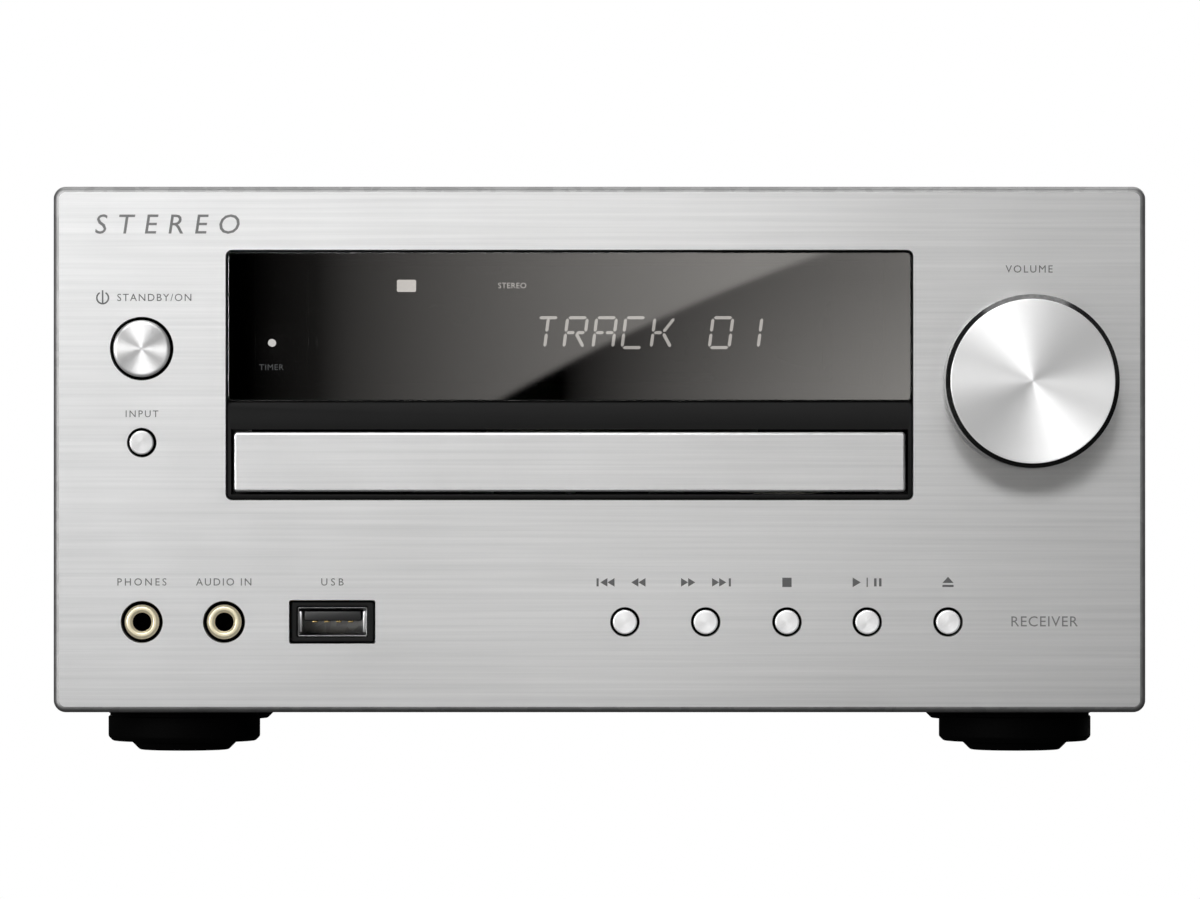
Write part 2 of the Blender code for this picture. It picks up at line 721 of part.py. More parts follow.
def loader_frame(parent):
    """The moulded frame of the drive: floor, side rails, legs, gear post and hinge lugs."""
    pinion = (drive_x(LOAD_X), LOAD_Y)
    well = rectangle(*across(WELL_LEFT, WELL_RIGHT), WELL_FRONT, WELL_REAR)
    shaft_hole = circle((drive_x(MOTOR_X), LOAD_Y), 2.0, 12)
    outline = rectangle(*across(-LOADER_HALF, LOADER_HALF), LOADER_FRONT, LOADER_REAR)
    floor = prism(outline, FLOOR_LOW, FLOOR_HIGH, holes=[well, shaft_hole])
    parts = []
    for side in (-1, 1):
        wall = sorted((drive_x(side * 70), drive_x(side * LOADER_HALF)))
        rail = sorted((drive_x(side * 61.5), drive_x(side * 70.5)))
        lip = sorted((drive_x(side * 62), drive_x(side * 70.5)))
        lug = sorted((drive_x(side * 31.2), drive_x(side * 33.7)))
        rear = LOADER_REAR
        parts.append(boxes((*wall, LOADER_FRONT, rear, FLOOR_HIGH - 0.5, 64.7)))
        parts.append(boxes((*rail, LOADER_FRONT, rear, FLOOR_HIGH - 0.4, TRAY_LOW - CLEAR)))
        parts.append(boxes((*lip, LOADER_FRONT, -90, TRAY_HIGH + CLEAR, 63.0)))
        parts.append(boxes((*lug, HINGE_Y - 3, HINGE_Y + 4, FLOOR_LOW + 0.5, HINGE_Z + 3)))
        for y in LEG_YS:
            leg = rectangle(
                drive_x(side * LEG_X) - LEG_SIZE / 2, drive_x(side * LEG_X) + LEG_SIZE / 2,
                y - LEG_SIZE / 2, y + LEG_SIZE / 2,
            )
            parts.append(prism(leg, PAN_LOW + SHEET + CLEAR, FLOOR_LOW + 0.5))
    parts.append(rod(pinion, 2.0, FLOOR_HIGH - 0.5, 55.1))
    hinge = rod((HINGE_Y, HINGE_Z), HINGE_RADIUS + 0.15, drive_x(-36), drive_x(36), "X")
    return finish(cut(joined(floor, *parts), hinge), "loader_frame", "black_plastic", parent)


def disc_tray(parent):
    """The tray: a recess for each disc size, a slot open to the rear, and the rack beneath."""
    centre = (WINDOW_X, DISC_Y)
    tray = boxes((*across(-TRAY_HALF, TRAY_HALF), TRAY_FRONT, TRAY_REAR, TRAY_LOW, TRAY_HIGH))
    hollow = boxes((*across(-62, 62), TRAY_FRONT + 2, TRAY_REAR + 1, TRAY_LOW - 1, TRAY_UNDERSIDE))
    recess = rod(centre, DISC_RECESS, DISC_FLOOR, TRAY_HIGH + 1, sides=56)
    small = rod(centre, SMALL_RECESS, SMALL_FLOOR, TRAY_HIGH + 1, sides=40)
    eye = rod(centre, TRAY_SLOT_HALF, TRAY_LOW - 1, TRAY_HIGH + 1, sides=28)
    sides = across(-TRAY_SLOT_HALF, TRAY_SLOT_HALF)
    slot = boxes((*sides, DISC_Y, TRAY_REAR + 1, TRAY_LOW - 1, TRAY_HIGH + 1))
    tray = cut(tray, hollow, recess, small, eye, slot)
    line = drive_x(LOAD_X + LOAD_PITCH)
    bar = rack(line, line + 6, -108, TRAY_REAR - 1, LOAD_MODULE, LOAD_Y)
    solid = joined(tray, prism(bar, LOAD_RACK_LOW, TRAY_UNDERSIDE + 0.5))
    return finish(solid, "disc_tray", "black_plastic", parent, (WINDOW_X, TRAY_FRONT, TRAY_LOW))


def tray_fascia(parent):
    """The aluminium front of the tray, with a chamfer round its face."""
    back, face, edge = TRAY_FRONT - CLEAR, PANEL_FRONT, 0.4
    full = rectangle(*across(-FASCIA_HALF, FASCIA_HALF), FASCIA_LOW, FASCIA_HIGH)
    small = rectangle(
        *across(edge - FASCIA_HALF, FASCIA_HALF - edge), FASCIA_LOW + edge, FASCIA_HIGH - edge
    )
    solid = stack((full, full, small), (back, face + edge, face), "Y")
    return finish(solid, "tray_fascia", "brushed_aluminium", parent, (WINDOW_X, face, FASCIA_LOW))


def pulley(centre, radius, flange):
    """A pulley of two flanges and the groove that the belt runs in."""
    profile = [
        (0, PULLEY_LOW), (flange, PULLEY_LOW), (flange, PULLEY_LOW + 0.4), (radius, PULLEY_LOW + 0.4),
        (radius, PULLEY_HIGH - 0.4), (flange, PULLEY_HIGH - 0.4), (flange, PULLEY_HIGH), (0, PULLEY_HIGH),
    ]
    return turned(profile, centre, sides=24)


def loading_gear(parent):
    """The belt pulley and the gear above it that drives the tray's rack."""
    centre = (drive_x(LOAD_X), LOAD_Y)
    solid = pulley(centre, PULLEY_RADIUS, PULLEY_RADIUS + 1)
    neck = rod(centre, 7.6, PULLEY_HIGH - 0.2, 51.8)
    gear = prism(toothed(centre, LOAD_TEETH, LOAD_MODULE), 51.5, FEED_HIGH)
    bore = rod(centre, 2.1, PULLEY_LOW - 1, FEED_HIGH + 1)
    solid = cut(joined(solid, neck, gear), bore)
    return finish(solid, "loading_gear", "white_plastic", parent, (*centre, PULLEY_LOW))


def motor(centre, radius, low, high, shaft_end, boss, sides=20):
    """A small can motor: a rear bearing, the can, a front boss and the shaft."""
    profile = [
        (0, low), (boss, low), (boss, low + 1.2), (radius - 0.8, low + 1.2), (radius, low + 2.0),
        (radius, high - 0.8), (radius - 0.8, high), (1.0, high), (1.0, shaft_end), (0, shaft_end),
    ]
    return turned(profile, centre, sides=sides)


def loading_motor(parent):
    centre = (drive_x(MOTOR_X), LOAD_Y)
    solid = motor(centre, 10.5, 25.6, FLOOR_LOW - CLEAR, 50.6, 3.0)
    return finish(solid, "loading_motor", "zinc_steel", parent)


def motor_pulley(parent):
    centre = (drive_x(MOTOR_X), LOAD_Y)
    solid = pulley(centre, MOTOR_PULLEY_RADIUS, MOTOR_PULLEY_RADIUS + 1.2)
    solid = cut(solid, rod(centre, 1.1, PULLEY_LOW - 1, PULLEY_HIGH + 1, sides=16))
    return finish(solid, "motor_pulley", "white_plastic", parent, (*centre, PULLEY_LOW))


def drive_belt(parent):
    """The rubber belt from the motor's pulley to the loading gear's."""
    first, second = (drive_x(LOAD_X), LOAD_Y), (drive_x(MOTOR_X), LOAD_Y)
    inner = (PULLEY_RADIUS + CLEAR, MOTOR_PULLEY_RADIUS + CLEAR)
    thick = 1.2
    outside = wrapped(first, inner[0] + thick, second, inner[1] + thick)
    inner_loop = wrapped(first, inner[0], second, inner[1])
    solid = prism(outside, PULLEY_LOW + 0.7, PULLEY_HIGH - 0.7, holes=[inner_loop])
    return finish(solid, "drive_belt", "belt_rubber", parent)


def cam_slider(parent):
    """The slider whose slanting slot raises and lowers the deck's front pin."""
    x = drive_x(CAM_X)
    ends = ((x, CAM_Z), (x + CAM_TRAVEL, CAM_Z - CAM_DROP))
    left, right = drive_x(CAM_X - 8), drive_x(CAM_X + 22)
    outline = [(left, 50), (left, 41.5), (right - 11, 34.5), (right, 34.5), (right, 50)]
    slot = wrapped(ends[0], 1.9, ends[1], 1.9, 8)
    plate = prism(outline, -88.5, -86.5, "Y", [slot])
    shelf = boxes((left, right, -92.6, -87.0, FLOOR_HIGH + CLEAR, 49.8))
    return finish(joined(plate, shelf), "cam_slider", "white_plastic", parent, (x, -87.5, CAM_Z))


def traverse_deck(parent):
    """The hinged steel deck, with the pickup's well, stiffening flanges, pins and rod holders."""
    left, right = across(DECK_LEFT, DECK_RIGHT)
    well = rectangle(*across(-24, 24), -50, 28)
    spindle = circle((WINDOW_X, DISC_Y), 3.2, 16)
    feed = circle((drive_x(FEED_X), PINION_Y), 2.5, 16)
    outline = rectangle(left, right, DECK_FRONT, DECK_REAR)
    deck = prism(outline, DECK_LOW, DECK_HIGH, holes=[well, spindle, feed])
    parts = [
        boxes((left, left + 1.5, DECK_FRONT, 34, 43, DECK_LOW + 0.5)),
        boxes((right - 1.5, right, DECK_FRONT, 34, 43, DECK_LOW + 0.5)),
        boxes((*across(CAM_X - 4, CAM_X + 4), -84, DECK_FRONT + 0.5, 43, DECK_HIGH)),
        rod((drive_x(CAM_X), CAM_Z), 1.5, -89.1, -83.5, "Y", 16),
        rod((drive_x(FEED_X), FEED_Y), 1.5, DECK_HIGH - 0.5, 55.1, sides=16),
    ]
    for side in (-1, 1):
        arm = sorted((drive_x(side * 26), drive_x(side * 30)))
        pin = sorted((drive_x(side * 28), drive_x(side * 34)))
        holder = sorted((drive_x(side * 16.5), drive_x(side * 21.5)))
        parts.append(boxes((*arm, 33, HINGE_Y + 2, HINGE_Z - 1.6, HINGE_Z + 1.6)))
        parts.append(rod((HINGE_Y, HINGE_Z), HINGE_RADIUS, *pin, "X", 16))
        parts.append(boxes((*holder, ROD_FRONT - 2.5, ROD_FRONT - CLEAR, 44.5, DECK_LOW + 0.5)))
        parts.append(boxes((*holder, ROD_REAR + CLEAR, ROD_REAR + 2.5, 44.5, DECK_LOW + 0.5)))
    origin = (WINDOW_X, HINGE_Y, HINGE_Z)
    return finish(joined(deck, *parts), "traverse_deck", "zinc_steel", parent, origin)


def turntable(parent):
    """The disc's seat on the spindle, with its centring cone."""
    profile = [
        (0, 57), (1.1, 57), (1.1, 51.5), (5, 51.5), (5, 56.2), (15, 56.2), (15, 58.7),
        (7.4, 58.7), (7.4, 60.8), (6.2, 62), (0, 62),
    ]
    solid = turned(profile, (WINDOW_X, DISC_Y), sides=28)
    return finish(solid, "turntable", "black_plastic", parent, (WINDOW_X, DISC_Y, 51.5))


def spindle_motor(parent):
    solid = motor((WINDOW_X, DISC_Y), 12.0, 40.5, DECK_LOW - CLEAR, 56.5, 3.5, 24)
    return finish(solid, "spindle_motor", "zinc_steel", parent, (WINDOW_X, DISC_Y, 40.5))


def laser_pickup(parent):
    """The sled on its two rods, the optical block with its lens, and the rack that moves it."""
    x, y = WINDOW_X, PICKUP_Y
    front, rear = y - PICKUP_HALF_Y, y + PICKUP_HALF_Y
    sled = boxes((*across(-22, 22), front, rear, 44.2, 48.7))
    block = boxes((*across(-16, 16), front + 0.5, rear - 0.5, 48.2, 54.5))
    lens = turned([(0, 54), (4.5, 54), (4.5, 55.6), (3.4, 56), (3.0, 56.4), (0, 56.5)], (x, y))
    web = boxes((*across(15, 23), y - 7.5, y + 7.5, FEED_LOW, FEED_STEP - CLEAR))
    bar = rack(drive_x(FEED_RACK_X), drive_x(22), -55, -12, FEED_MODULE, FEED_Y)
    toothed_bar = prism(bar, FEED_LOW, FEED_STEP - CLEAR)
    solid = joined(sled, block, lens, web, toothed_bar)
    bores = [rod((drive_x(s * ROD_X), ROD_Z), ROD_RADIUS + 0.12, -60, 20, "Y") for s in (-1, 1)]
    return finish(cut(solid, *bores), "laser_pickup", "black_plastic", parent, (x, y, 54.5))


def guide_rods(parent):
    for name, side in (("left", -1), ("right", 1)):
        solid = rod((drive_x(side * ROD_X), ROD_Z), ROD_RADIUS, ROD_FRONT, ROD_REAR, "Y", 16)
        finish(solid, f"guide_rod_{name}", "polished_steel", parent)


def feed_gear(parent):
    """Two gears in one: the small one turns the pickup's rack, the pinion turns the big one."""
    centre = (drive_x(FEED_X), FEED_Y)
    small = prism(toothed(centre, FEED_SMALL, FEED_MODULE, 180), FEED_LOW, FEED_STEP + 0.3)
    big = prism(toothed(centre, FEED_BIG, FEED_MODULE, 90), FEED_STEP, FEED_HIGH)
    solid = cut(joined(small, big), rod(centre, 1.6, FEED_LOW - 1, FEED_HIGH + 1))
    return finish(solid, "feed_gear", "white_plastic", parent, (*centre, FEED_LOW))


def feed_motor(parent):
    centre = (drive_x(FEED_X), PINION_Y)
    solid = motor(centre, 9.0, 36.0, DECK_LOW - CLEAR, 54.6, 2.6)
    return finish(solid, "feed_motor", "zinc_steel", parent)


def feed_pinion(parent):
    """The pinion on the feed motor's shaft, turned so that a tooth enters the big gear's gap."""
    centre = (drive_x(FEED_X), PINION_Y)
    half_tooth = 180 / FEED_PINION
    outline = toothed(centre, FEED_PINION, FEED_MODULE, 270 + half_tooth)
    solid = cut(
        prism(outline, FEED_STEP, FEED_HIGH), rod(centre, 1.1, FEED_STEP - 1, FEED_HIGH + 1, sides=16)
    )
    return finish(solid, "feed_pinion", "white_plastic", parent, (*centre, FEED_STEP))


def clamp_bridge(parent):
    """The steel bridge over the tray that holds the disc clamp, with turned-up edges."""
    front, rear = DISC_Y - 23, DISC_Y + 23
    low, high = 65.0, 66.5
    outline = rectangle(*across(-LOADER_HALF, LOADER_HALF), front, rear)
    hole = circle((WINDOW_X, DISC_Y), 15.5, 32)
    plate = prism(outline, low, high, holes=[hole])
    edges = [
        boxes((*across(-LOADER_HALF, LOADER_HALF), front, front + 1.2, high - 0.5, 69.5)),
        boxes((*across(-LOADER_HALF, LOADER_HALF), rear - 1.2, rear, high - 0.5, 69.5)),
    ]
    return finish(joined(plate, *edges), "clamp_bridge", "zinc_steel", parent)


def disc_clamp(parent):
    """The puck that presses the disc onto the turntable and turns with it."""
    profile = [
        (0, 62.6), (8.2, 62.6), (8.2, 60.2), (14, 60.2), (14, 66.8), (18.5, 66.8), (18.5, 68.3),
        (0, 68.3),
    ]
    solid = turned(profile, (WINDOW_X, DISC_Y), sides=28)
    return finish(solid, "disc_clamp", "white_plastic", parent, (WINDOW_X, DISC_Y, 60.2))


# Electronics and rear


def main_board(parent):
    """The board over the chassis floor, with holes for the drive's legs and its tall parts."""
    half, rear, step_x, step_y = BOARD_HALF, 127.0, -28.0, 50.0
    outline = [(-half, LOADER_FRONT), (half, LOADER_FRONT), (half, rear), (step_x, rear)]
    outline += [(step_x, step_y), (-half, step_y)]
    holes = []
    for side in (-1, 1):
        for y in LEG_YS:
            holes.append(centred(drive_x(side * LEG_X), y, LEG_SIZE / 2 + 0.6, LEG_SIZE / 2 + 0.6))
    board = prism(outline, BOARD_LOW, BOARD_HIGH, holes=holes)
    parts = []
    capacitors = (
        (86, 60, 9.0, 34.0), (64, 66, 8.0, 34.0), (86, 20, 9.0, 30.0), (86, -4, 9.0, 30.0),
        (-90, -30, 6.0, 20.0), (-90, -12, 6.0, 20.0), (-30, 30, 4.0, 10.0), (-18, 30, 4.0, 10.0),
        (60, -20, 4.0, 9.0), (60, -6, 4.0, 9.0),
    )
    for x, y, radius, tall in capacitors:
        parts.append(rod((x, y), radius, BOARD_HIGH - 0.5, BOARD_HIGH + tall, sides=12))
    chips = ((-60, -60, 9.0, 9.0, 2.0), (-20, -40, 12.0, 6.0, 2.2), (20, 10, 7.0, 7.0, 2.0))
    for x, y, half_x, half_y, tall in chips:
        footprint = (x - half_x, x + half_x, y - half_y, y + half_y)
        parts.append(boxes((*footprint, BOARD_HIGH - 0.5, BOARD_HIGH + tall)))
    return finish(joined(board, *parts), "main_board", "circuit_board", parent)


def power_transformer(parent):
    """The laminated core, the winding that bulges front and rear, and the mounting strap."""
    floor = PAN_LOW + SHEET + CLEAR
    core = boxes((-92, -44, 62, 94, floor, 58))
    winding = prism(rounded(-84, -52, 20, 50, 5), 54, 102, "Y")
    strap = boxes((-98, -38, 70, 86, floor, floor + 1.6))
    return finish(joined(core, winding, strap), "power_transformer", "copper", parent)


def heat_sink(parent):
    """A comb of upright fins in front of the fan."""
    left, right, front, back, root = -25.0, 35.0, 72.0, 108.0, 76.0
    fins, thick = 12, 1.6
    pitch = (right - left - thick) / (fins - 1)
    outline = [(left, front), (right, front)]
    for fin in reversed(range(fins)):
        x = left + fin * pitch
        outline += [(x + thick, root), (x + thick, back), (x, back), (x, root)]
    outline = [point for point in outline if point not in ((right, root), (left, root))]
    solid = prism(outline, BOARD_HIGH + CLEAR, 98)
    return finish(solid, "heat_sink", "heat_sink_aluminium", parent)


def fan_housing(parent):
    """A square fan frame: a round duct, a hub at the back on four struts, and the axle."""
    centre = (FAN_X, FAN_Z)
    outline = rounded(FAN_X - FAN_HALF, FAN_X + FAN_HALF, FAN_Z - FAN_HALF, FAN_Z + FAN_HALF, 3)
    frame = prism(outline, FAN_FRONT, FAN_BACK, "Y", [circle(centre, FAN_DUCT, 32)])
    hub = rod(centre, 9.0, 125.5, FAN_BACK, "Y")
    reach = FAN_DUCT + 0.8
    struts = [
        boxes((FAN_X - reach, FAN_X + reach, 126.5, FAN_BACK - 0.2, FAN_Z - 1.5, FAN_Z + 1.5)),
        boxes((FAN_X - 1.5, FAN_X + 1.5, 126.5, FAN_BACK - 0.2, FAN_Z - reach, FAN_Z + reach)),
    ]
    axle = rod(centre, 1.5, 118.5, 126.0, "Y", 16)
    return finish(joined(frame, hub, *struts, axle), "fan_housing", "black_plastic", parent)


def fan_rotor(parent):
    """The hub and its slanting blades, bored for the axle."""
    centre = (FAN_X, FAN_Z)
    low, high = 115.5, 124.8
    hub = turned([(0, low), (8.5, low), (9.5, low + 1), (9.5, high), (0, high)], centre, "Y")
    first, last, half, thick = low + 1.2, high - 1.2, 4.2, 1.2
    section = [(first, -half), (first + thick, -half), (last, half), (last - thick, half)]
    place = Matrix.Translation(Vector((FAN_X, 0, FAN_Z)) * MM)
    blades = []
    for number in range(FAN_BLADES):
        blade = prism(section, 8.0, 22.3, "X")
        blade.data.transform(place @ Matrix.Rotation(math.tau * number / FAN_BLADES, 4, "Y"))
        blades.append(blade)
    bore = rod(centre, 1.65, 118.0, high + 1, "Y", 16)
    solid = cut(joined(hub, *blades), bore)
    return finish(solid, "fan_rotor", "black_plastic", parent, (FAN_X, low, FAN_Z))


def rca_places():
    half = RCA_PITCH / 2
    return [(RCA_X + sx * half, RCA_Z + sz * half) for sx in (-1, 1) for sz in (-1, 1)]


def speaker_terminals(parent):
    """Four speaker sockets in a block that fills its opening in the rear panel."""
    x, z = SPEAKER_X, SPEAKER_Z
    block = boxes((x - 26, x + 26, 113, 130.6, z - 8, z + 8))
    flange = boxes((x - 29, x + 29, REAR_PANEL_BACK + CLEAR, 132.3, z - 11, z + 11))
    collars = [rod((x + shift, z), 4.8, 132.0, 138.0, "Y") for shift in SPEAKER_SPREAD]
    bores = [rod((x + shift, z), 2.1, 124.0, 140.0, "Y", 12) for shift in SPEAKER_SPREAD]
    solid = cut(joined(block, flange, *collars), *bores)
    return finish(solid, "speaker_terminals", "black_plastic", parent)


def rca_jacks(parent):
    """Two pairs of line sockets on one body behind the rear panel."""
    body = boxes((RCA_X - 13, RCA_X + 13, 114, REAR_PANEL_FRONT - CLEAR, RCA_Z - 13, RCA_Z + 13))
    barrels = [rod(place, 4.2, 128.0, 139.0, "Y") for place in rca_places()]
    bores = [rod(place, 1.7, 130.5, 141.0, "Y", 12) for place in rca_places()]
    return finish(cut(joined(body, *barrels), *bores), "rca_jacks", "gold_plate", parent)


def antenna_jack(parent):
    """The threaded coaxial socket for the radio aerial, the rearmost piece."""
    x, z = ANTENNA_X, ANTENNA_Z
    body = boxes((x - 7, x + 7, 118, REAR_PANEL_FRONT - CLEAR, z - 7, z + 7))
    barrel = rod((x, z), 4.8, 128.0, REAR, "Y")
    bore = rod((x, z), 3.2, 134.0, REAR + 1, "Y")
    return finish(cut(joined(body, barrel), bore), "antenna_jack", "zinc_steel", parent)


def mains_inlet(parent):
    """The two-pin mains inlet: a body through the rear panel, a flange and a recess with pins."""
    x, z = MAINS_X, MAINS_Z
    body = boxes((x - 11, x + 11, 112, 130.6, z - 7, z + 7))
    flange = prism(rounded(x - 14, x + 14, z - 10, z + 10, 2), REAR_PANEL_BACK + CLEAR, 132.0, "Y")
    recess = prism(wrapped((x - 5.2, z), 4.1, (x + 5.2, z), 4.1, 8), 118.0, 134.0, "Y")
    pins = [rod((x + shift, z), 1.2, 117.0, 129.0, "Y", 12) for shift in (-4.3, 4.3)]
    solid = joined(cut(joined(body, flange), recess), *pins)
    return finish(solid, "mains_inlet", "black_plastic", parent)


def tuner_module(parent):
    """The radio tuner in its tinplate can, with a stepped lid."""
    can = boxes((78, 101.4, 84, 117, BOARD_HIGH + CLEAR, 34))
    lid = boxes((79, 100.4, 85, 116, 33.5, 35))
    return finish(joined(can, lid), "tuner_module", "zinc_steel", parent)


def front_ribbon_cable(parent):
    """The flat cable between the two boards, with a plug at each end."""
    left, right = -50.0, -26.0
    bend_y, bend_z, bend, thick = -109.6, 32.6, 5.4, 0.7
    start, end = bend_y - 1.0, 25.0
    outside = arc((bend_y, bend_z), bend, 90, 0, 8)
    inner_bend = arc((bend_y, bend_z), bend - thick, 0, 90, 8)
    outline = [(start, bend_z + bend), *outside, (bend_y + bend, end)]
    outline += [(bend_y + bend - thick, end), *inner_bend, (start, bend_z + bend - thick)]
    strip = prism(outline, left, right, "X")
    upper = boxes((left - 1, right + 1, CONTROL_BACK + CLEAR, -109.8, 35.0, 40.5))
    lower = boxes((left - 1, right + 1, -107.2, -101.6, BOARD_HIGH + CLEAR, 26.0))
    return finish(joined(strip, upper, lower), "front_ribbon_cable", "cable_grey", parent)


def main():
    for leftover in list(bpy.data.objects):
        bpy.data.objects.remove(leftover)

    receiver = empty("receiver")
    cabinet = empty("cabinet", parent=receiver)
    for make in (front_panel, window_bezel, display_window, front_subframe, top_cover):
        make(cabinet)
    for make in (bottom_chassis, rear_panel, feet, cover_screws):
        make(cabinet)

    controls = empty("controls", parent=receiver)
    volume = empty("volume_axis", (KNOB_X, FRONT, KNOB_Z), controls)
    for make in (volume_knob, encoder_shaft):
        make(volume)
    for make in (volume_encoder, buttons, control_board, display_tube, usb_socket):
        make(controls)
    for name, place in JACKS.items():
        headphone_jack(name, place, controls)

    drive = empty("disc_drive", parent=receiver)
    for make in (loader_frame, loading_gear, loading_motor, motor_pulley, drive_belt, cam_slider):
        make(drive)
    for make in (clamp_bridge, disc_clamp):
        make(drive)
    sliding = empty("sliding_tray", (WINDOW_X, TRAY_FRONT, TRAY_LOW), drive)
    for make in (disc_tray, tray_fascia):
        make(sliding)
    traverse = empty("traverse_hinge", (WINDOW_X, HINGE_Y, HINGE_Z), drive)
    for make in (traverse_deck, turntable, spindle_motor, laser_pickup, guide_rods):
        make(traverse)
    for make in (feed_gear, feed_motor, feed_pinion):
        make(traverse)

    electronics = empty("electronics", parent=receiver)
    for make in (main_board, power_transformer, heat_sink, fan_housing, fan_rotor):
        make(electronics)
    for make in (speaker_terminals, rca_jacks, antenna_jack, mains_inlet, tuner_module):
        make(electronics)
    front_ribbon_cable(electronics)


main()
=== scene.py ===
import math

import bmesh
import bpy
from mathutils import Matrix, Vector
from mathutils.geometry import delaunay_2d_cdt


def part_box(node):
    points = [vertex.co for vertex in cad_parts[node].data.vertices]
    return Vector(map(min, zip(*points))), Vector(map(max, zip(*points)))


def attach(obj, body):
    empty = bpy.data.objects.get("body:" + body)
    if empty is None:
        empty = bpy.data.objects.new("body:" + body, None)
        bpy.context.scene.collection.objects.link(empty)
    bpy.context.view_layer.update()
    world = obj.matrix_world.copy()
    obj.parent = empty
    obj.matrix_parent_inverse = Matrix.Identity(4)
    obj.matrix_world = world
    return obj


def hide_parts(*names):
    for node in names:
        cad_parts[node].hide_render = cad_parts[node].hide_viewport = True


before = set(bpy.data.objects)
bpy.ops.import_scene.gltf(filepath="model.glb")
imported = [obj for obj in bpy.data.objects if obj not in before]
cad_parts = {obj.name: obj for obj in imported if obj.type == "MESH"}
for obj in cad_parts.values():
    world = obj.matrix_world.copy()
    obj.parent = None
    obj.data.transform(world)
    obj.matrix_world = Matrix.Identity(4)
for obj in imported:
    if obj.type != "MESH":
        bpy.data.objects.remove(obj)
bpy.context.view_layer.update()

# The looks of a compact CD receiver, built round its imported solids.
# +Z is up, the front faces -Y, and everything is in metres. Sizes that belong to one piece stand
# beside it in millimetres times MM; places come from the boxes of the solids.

MM = 0.001
CLEAR = 0.3 * MM
STANDBY_RADIUS = 5.6 * MM
SMALL_RADIUS = 2.35 * MM
SMALL_BUTTONS = (
    "input_button", "previous_button", "next_button", "stop_button", "play_button", "eject_button",
)
JACKS = ("phones_jack", "audio_in_jack")
CORNERS = ("front_left", "front_right", "rear_left", "rear_right")

# Where a point (u, v) of an outline at a level goes, for each axis that a solid is drawn along
DIRECTIONS = {
    "X": lambda u, v, level: (level, u, v),
    "Y": lambda u, v, level: (u, level, v),
    "Z": lambda u, v, level: (u, v, level),
}


def middle(node):
    low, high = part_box(node)
    return (low + high) / 2


def xz(node):
    """The x and z of a node's middle, for a part of the front or the rear."""
    centre = middle(node)
    return centre.x, centre.z


PANEL_LOW, PANEL_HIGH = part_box("front_panel")
PANEL_FRONT, PANEL_BACK = PANEL_LOW.y, PANEL_HIGH.y
PANE_LOW, PANE_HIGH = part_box("display_window")
FASCIA_LOW, FASCIA_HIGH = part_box("tray_fascia")
KNOB_LOW, KNOB_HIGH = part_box("volume_knob")
KNOB = xz("volume_knob")
STANDBY = xz("standby_button")
SOCKET_LINE = middle("play_button").z
REAR_LOW, REAR_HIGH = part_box("rear_panel")
COVER_LOW, COVER_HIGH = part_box("top_cover")


# Outlines, as lists of (u, v) points


def arc(centre, radius, start, end, steps):
    """Points on an arc from start to end degrees, both included."""
    found = []
    for step in range(steps + 1):
        angle = math.radians(start + (end - start) * step / steps)
        x = centre[0] + radius * math.cos(angle)
        found.append((x, centre[1] + radius * math.sin(angle)))
    return found


def circle(centre, radius, sides=64):
    return arc(centre, radius, 0, 360, sides)[:-1]


def rounded(left, right, low, high, radius, steps=6):
    """A rectangle with round corners."""
    corners = (
        ((left + radius, low + radius), 180),
        ((right - radius, low + radius), 270),
        ((right - radius, high - radius), 0),
        ((left + radius, high - radius), 90),
    )
    found = []
    for centre, start in corners:
        found += arc(centre, radius, start, start + 90, steps)
    return found


# Shapes that can grow, so that an edge can be rounded: each is a function of how far it grows


def disc(centre, radius, sides=64):
    return lambda grow: circle(centre, radius + grow, sides)


def panel(left, right, low, high, radius, steps=6):
    return lambda grow: rounded(
        left - grow, right + grow, low - grow, high + grow, radius + grow, steps
    )


def centred(centre, half_u, half_v, radius, steps=4):
    u, v = centre
    return panel(u - half_u, u + half_u, v - half_v, v + half_v, radius, steps)


def pill(centre, half_u, half_v):
    """A slot with round ends."""
    return centred(centre, half_u, half_v, min(half_u, half_v) * 0.98, 5)


def wall(shape, start, end, edges=(0, 0), inward=1, steps=4):
    """The outlines up the side of a slab from start to end, each with its level.

    Its two edges are rounded by the given radii. Inward is 1 outside a slab and -1 in a hole."""
    way = math.copysign(1, end - start)
    first, last = edges
    turns = [math.radians(90 * step / steps) for step in range(steps + 1)]
    sides = []
    for turn in turns if first else [math.pi / 2]:
        sides.append((-first * (1 - math.sin(turn)), start + way * first * (1 - math.cos(turn))))
    for turn in turns if last else [0]:
        sides.append((-last * (1 - math.cos(turn)), end - way * last * (1 - math.sin(turn))))
    return [(shape(inward * grow), level) for grow, level in sides]


def softened(profile, radius, steps=3):
    """A profile of (radius, level) points with its inner corners rounded.

    A point beside each rounded corner keeps the long faces flat where they are shaded."""
    found = [profile[0]]
    for before, corner, after in zip(profile, profile[1:], profile[2:]):
        here = Vector(corner)
        back, on = Vector(before) - here, Vector(after) - here
        reach = min(radius, back.length * 0.35, on.length * 0.35)
        if back.length < 1e-9 or on.length < 1e-9 or back.angle(on) > math.radians(170):
            found.append(corner)
            continue
        back, on = back.normalized() * reach, on.normalized() * reach
        found.append(tuple(here + back * 1.3))
        for step in range(steps + 1):
            t = step / steps
            found.append(tuple(here + back * (1 - t) ** 2 + on * t**2))
        found.append(tuple(here + on * 1.3))
    return found + [profile[-1]]


def tube(inner, outer, start, end):
    """The profile of a plain tube."""
    return [(inner, start), (outer, start), (outer, end), (inner, end)]


# Solids


def linked(name, data):
    """A new object in the scene."""
    made = bpy.data.objects.new(name, data)
    bpy.context.collection.objects.link(made)
    return made


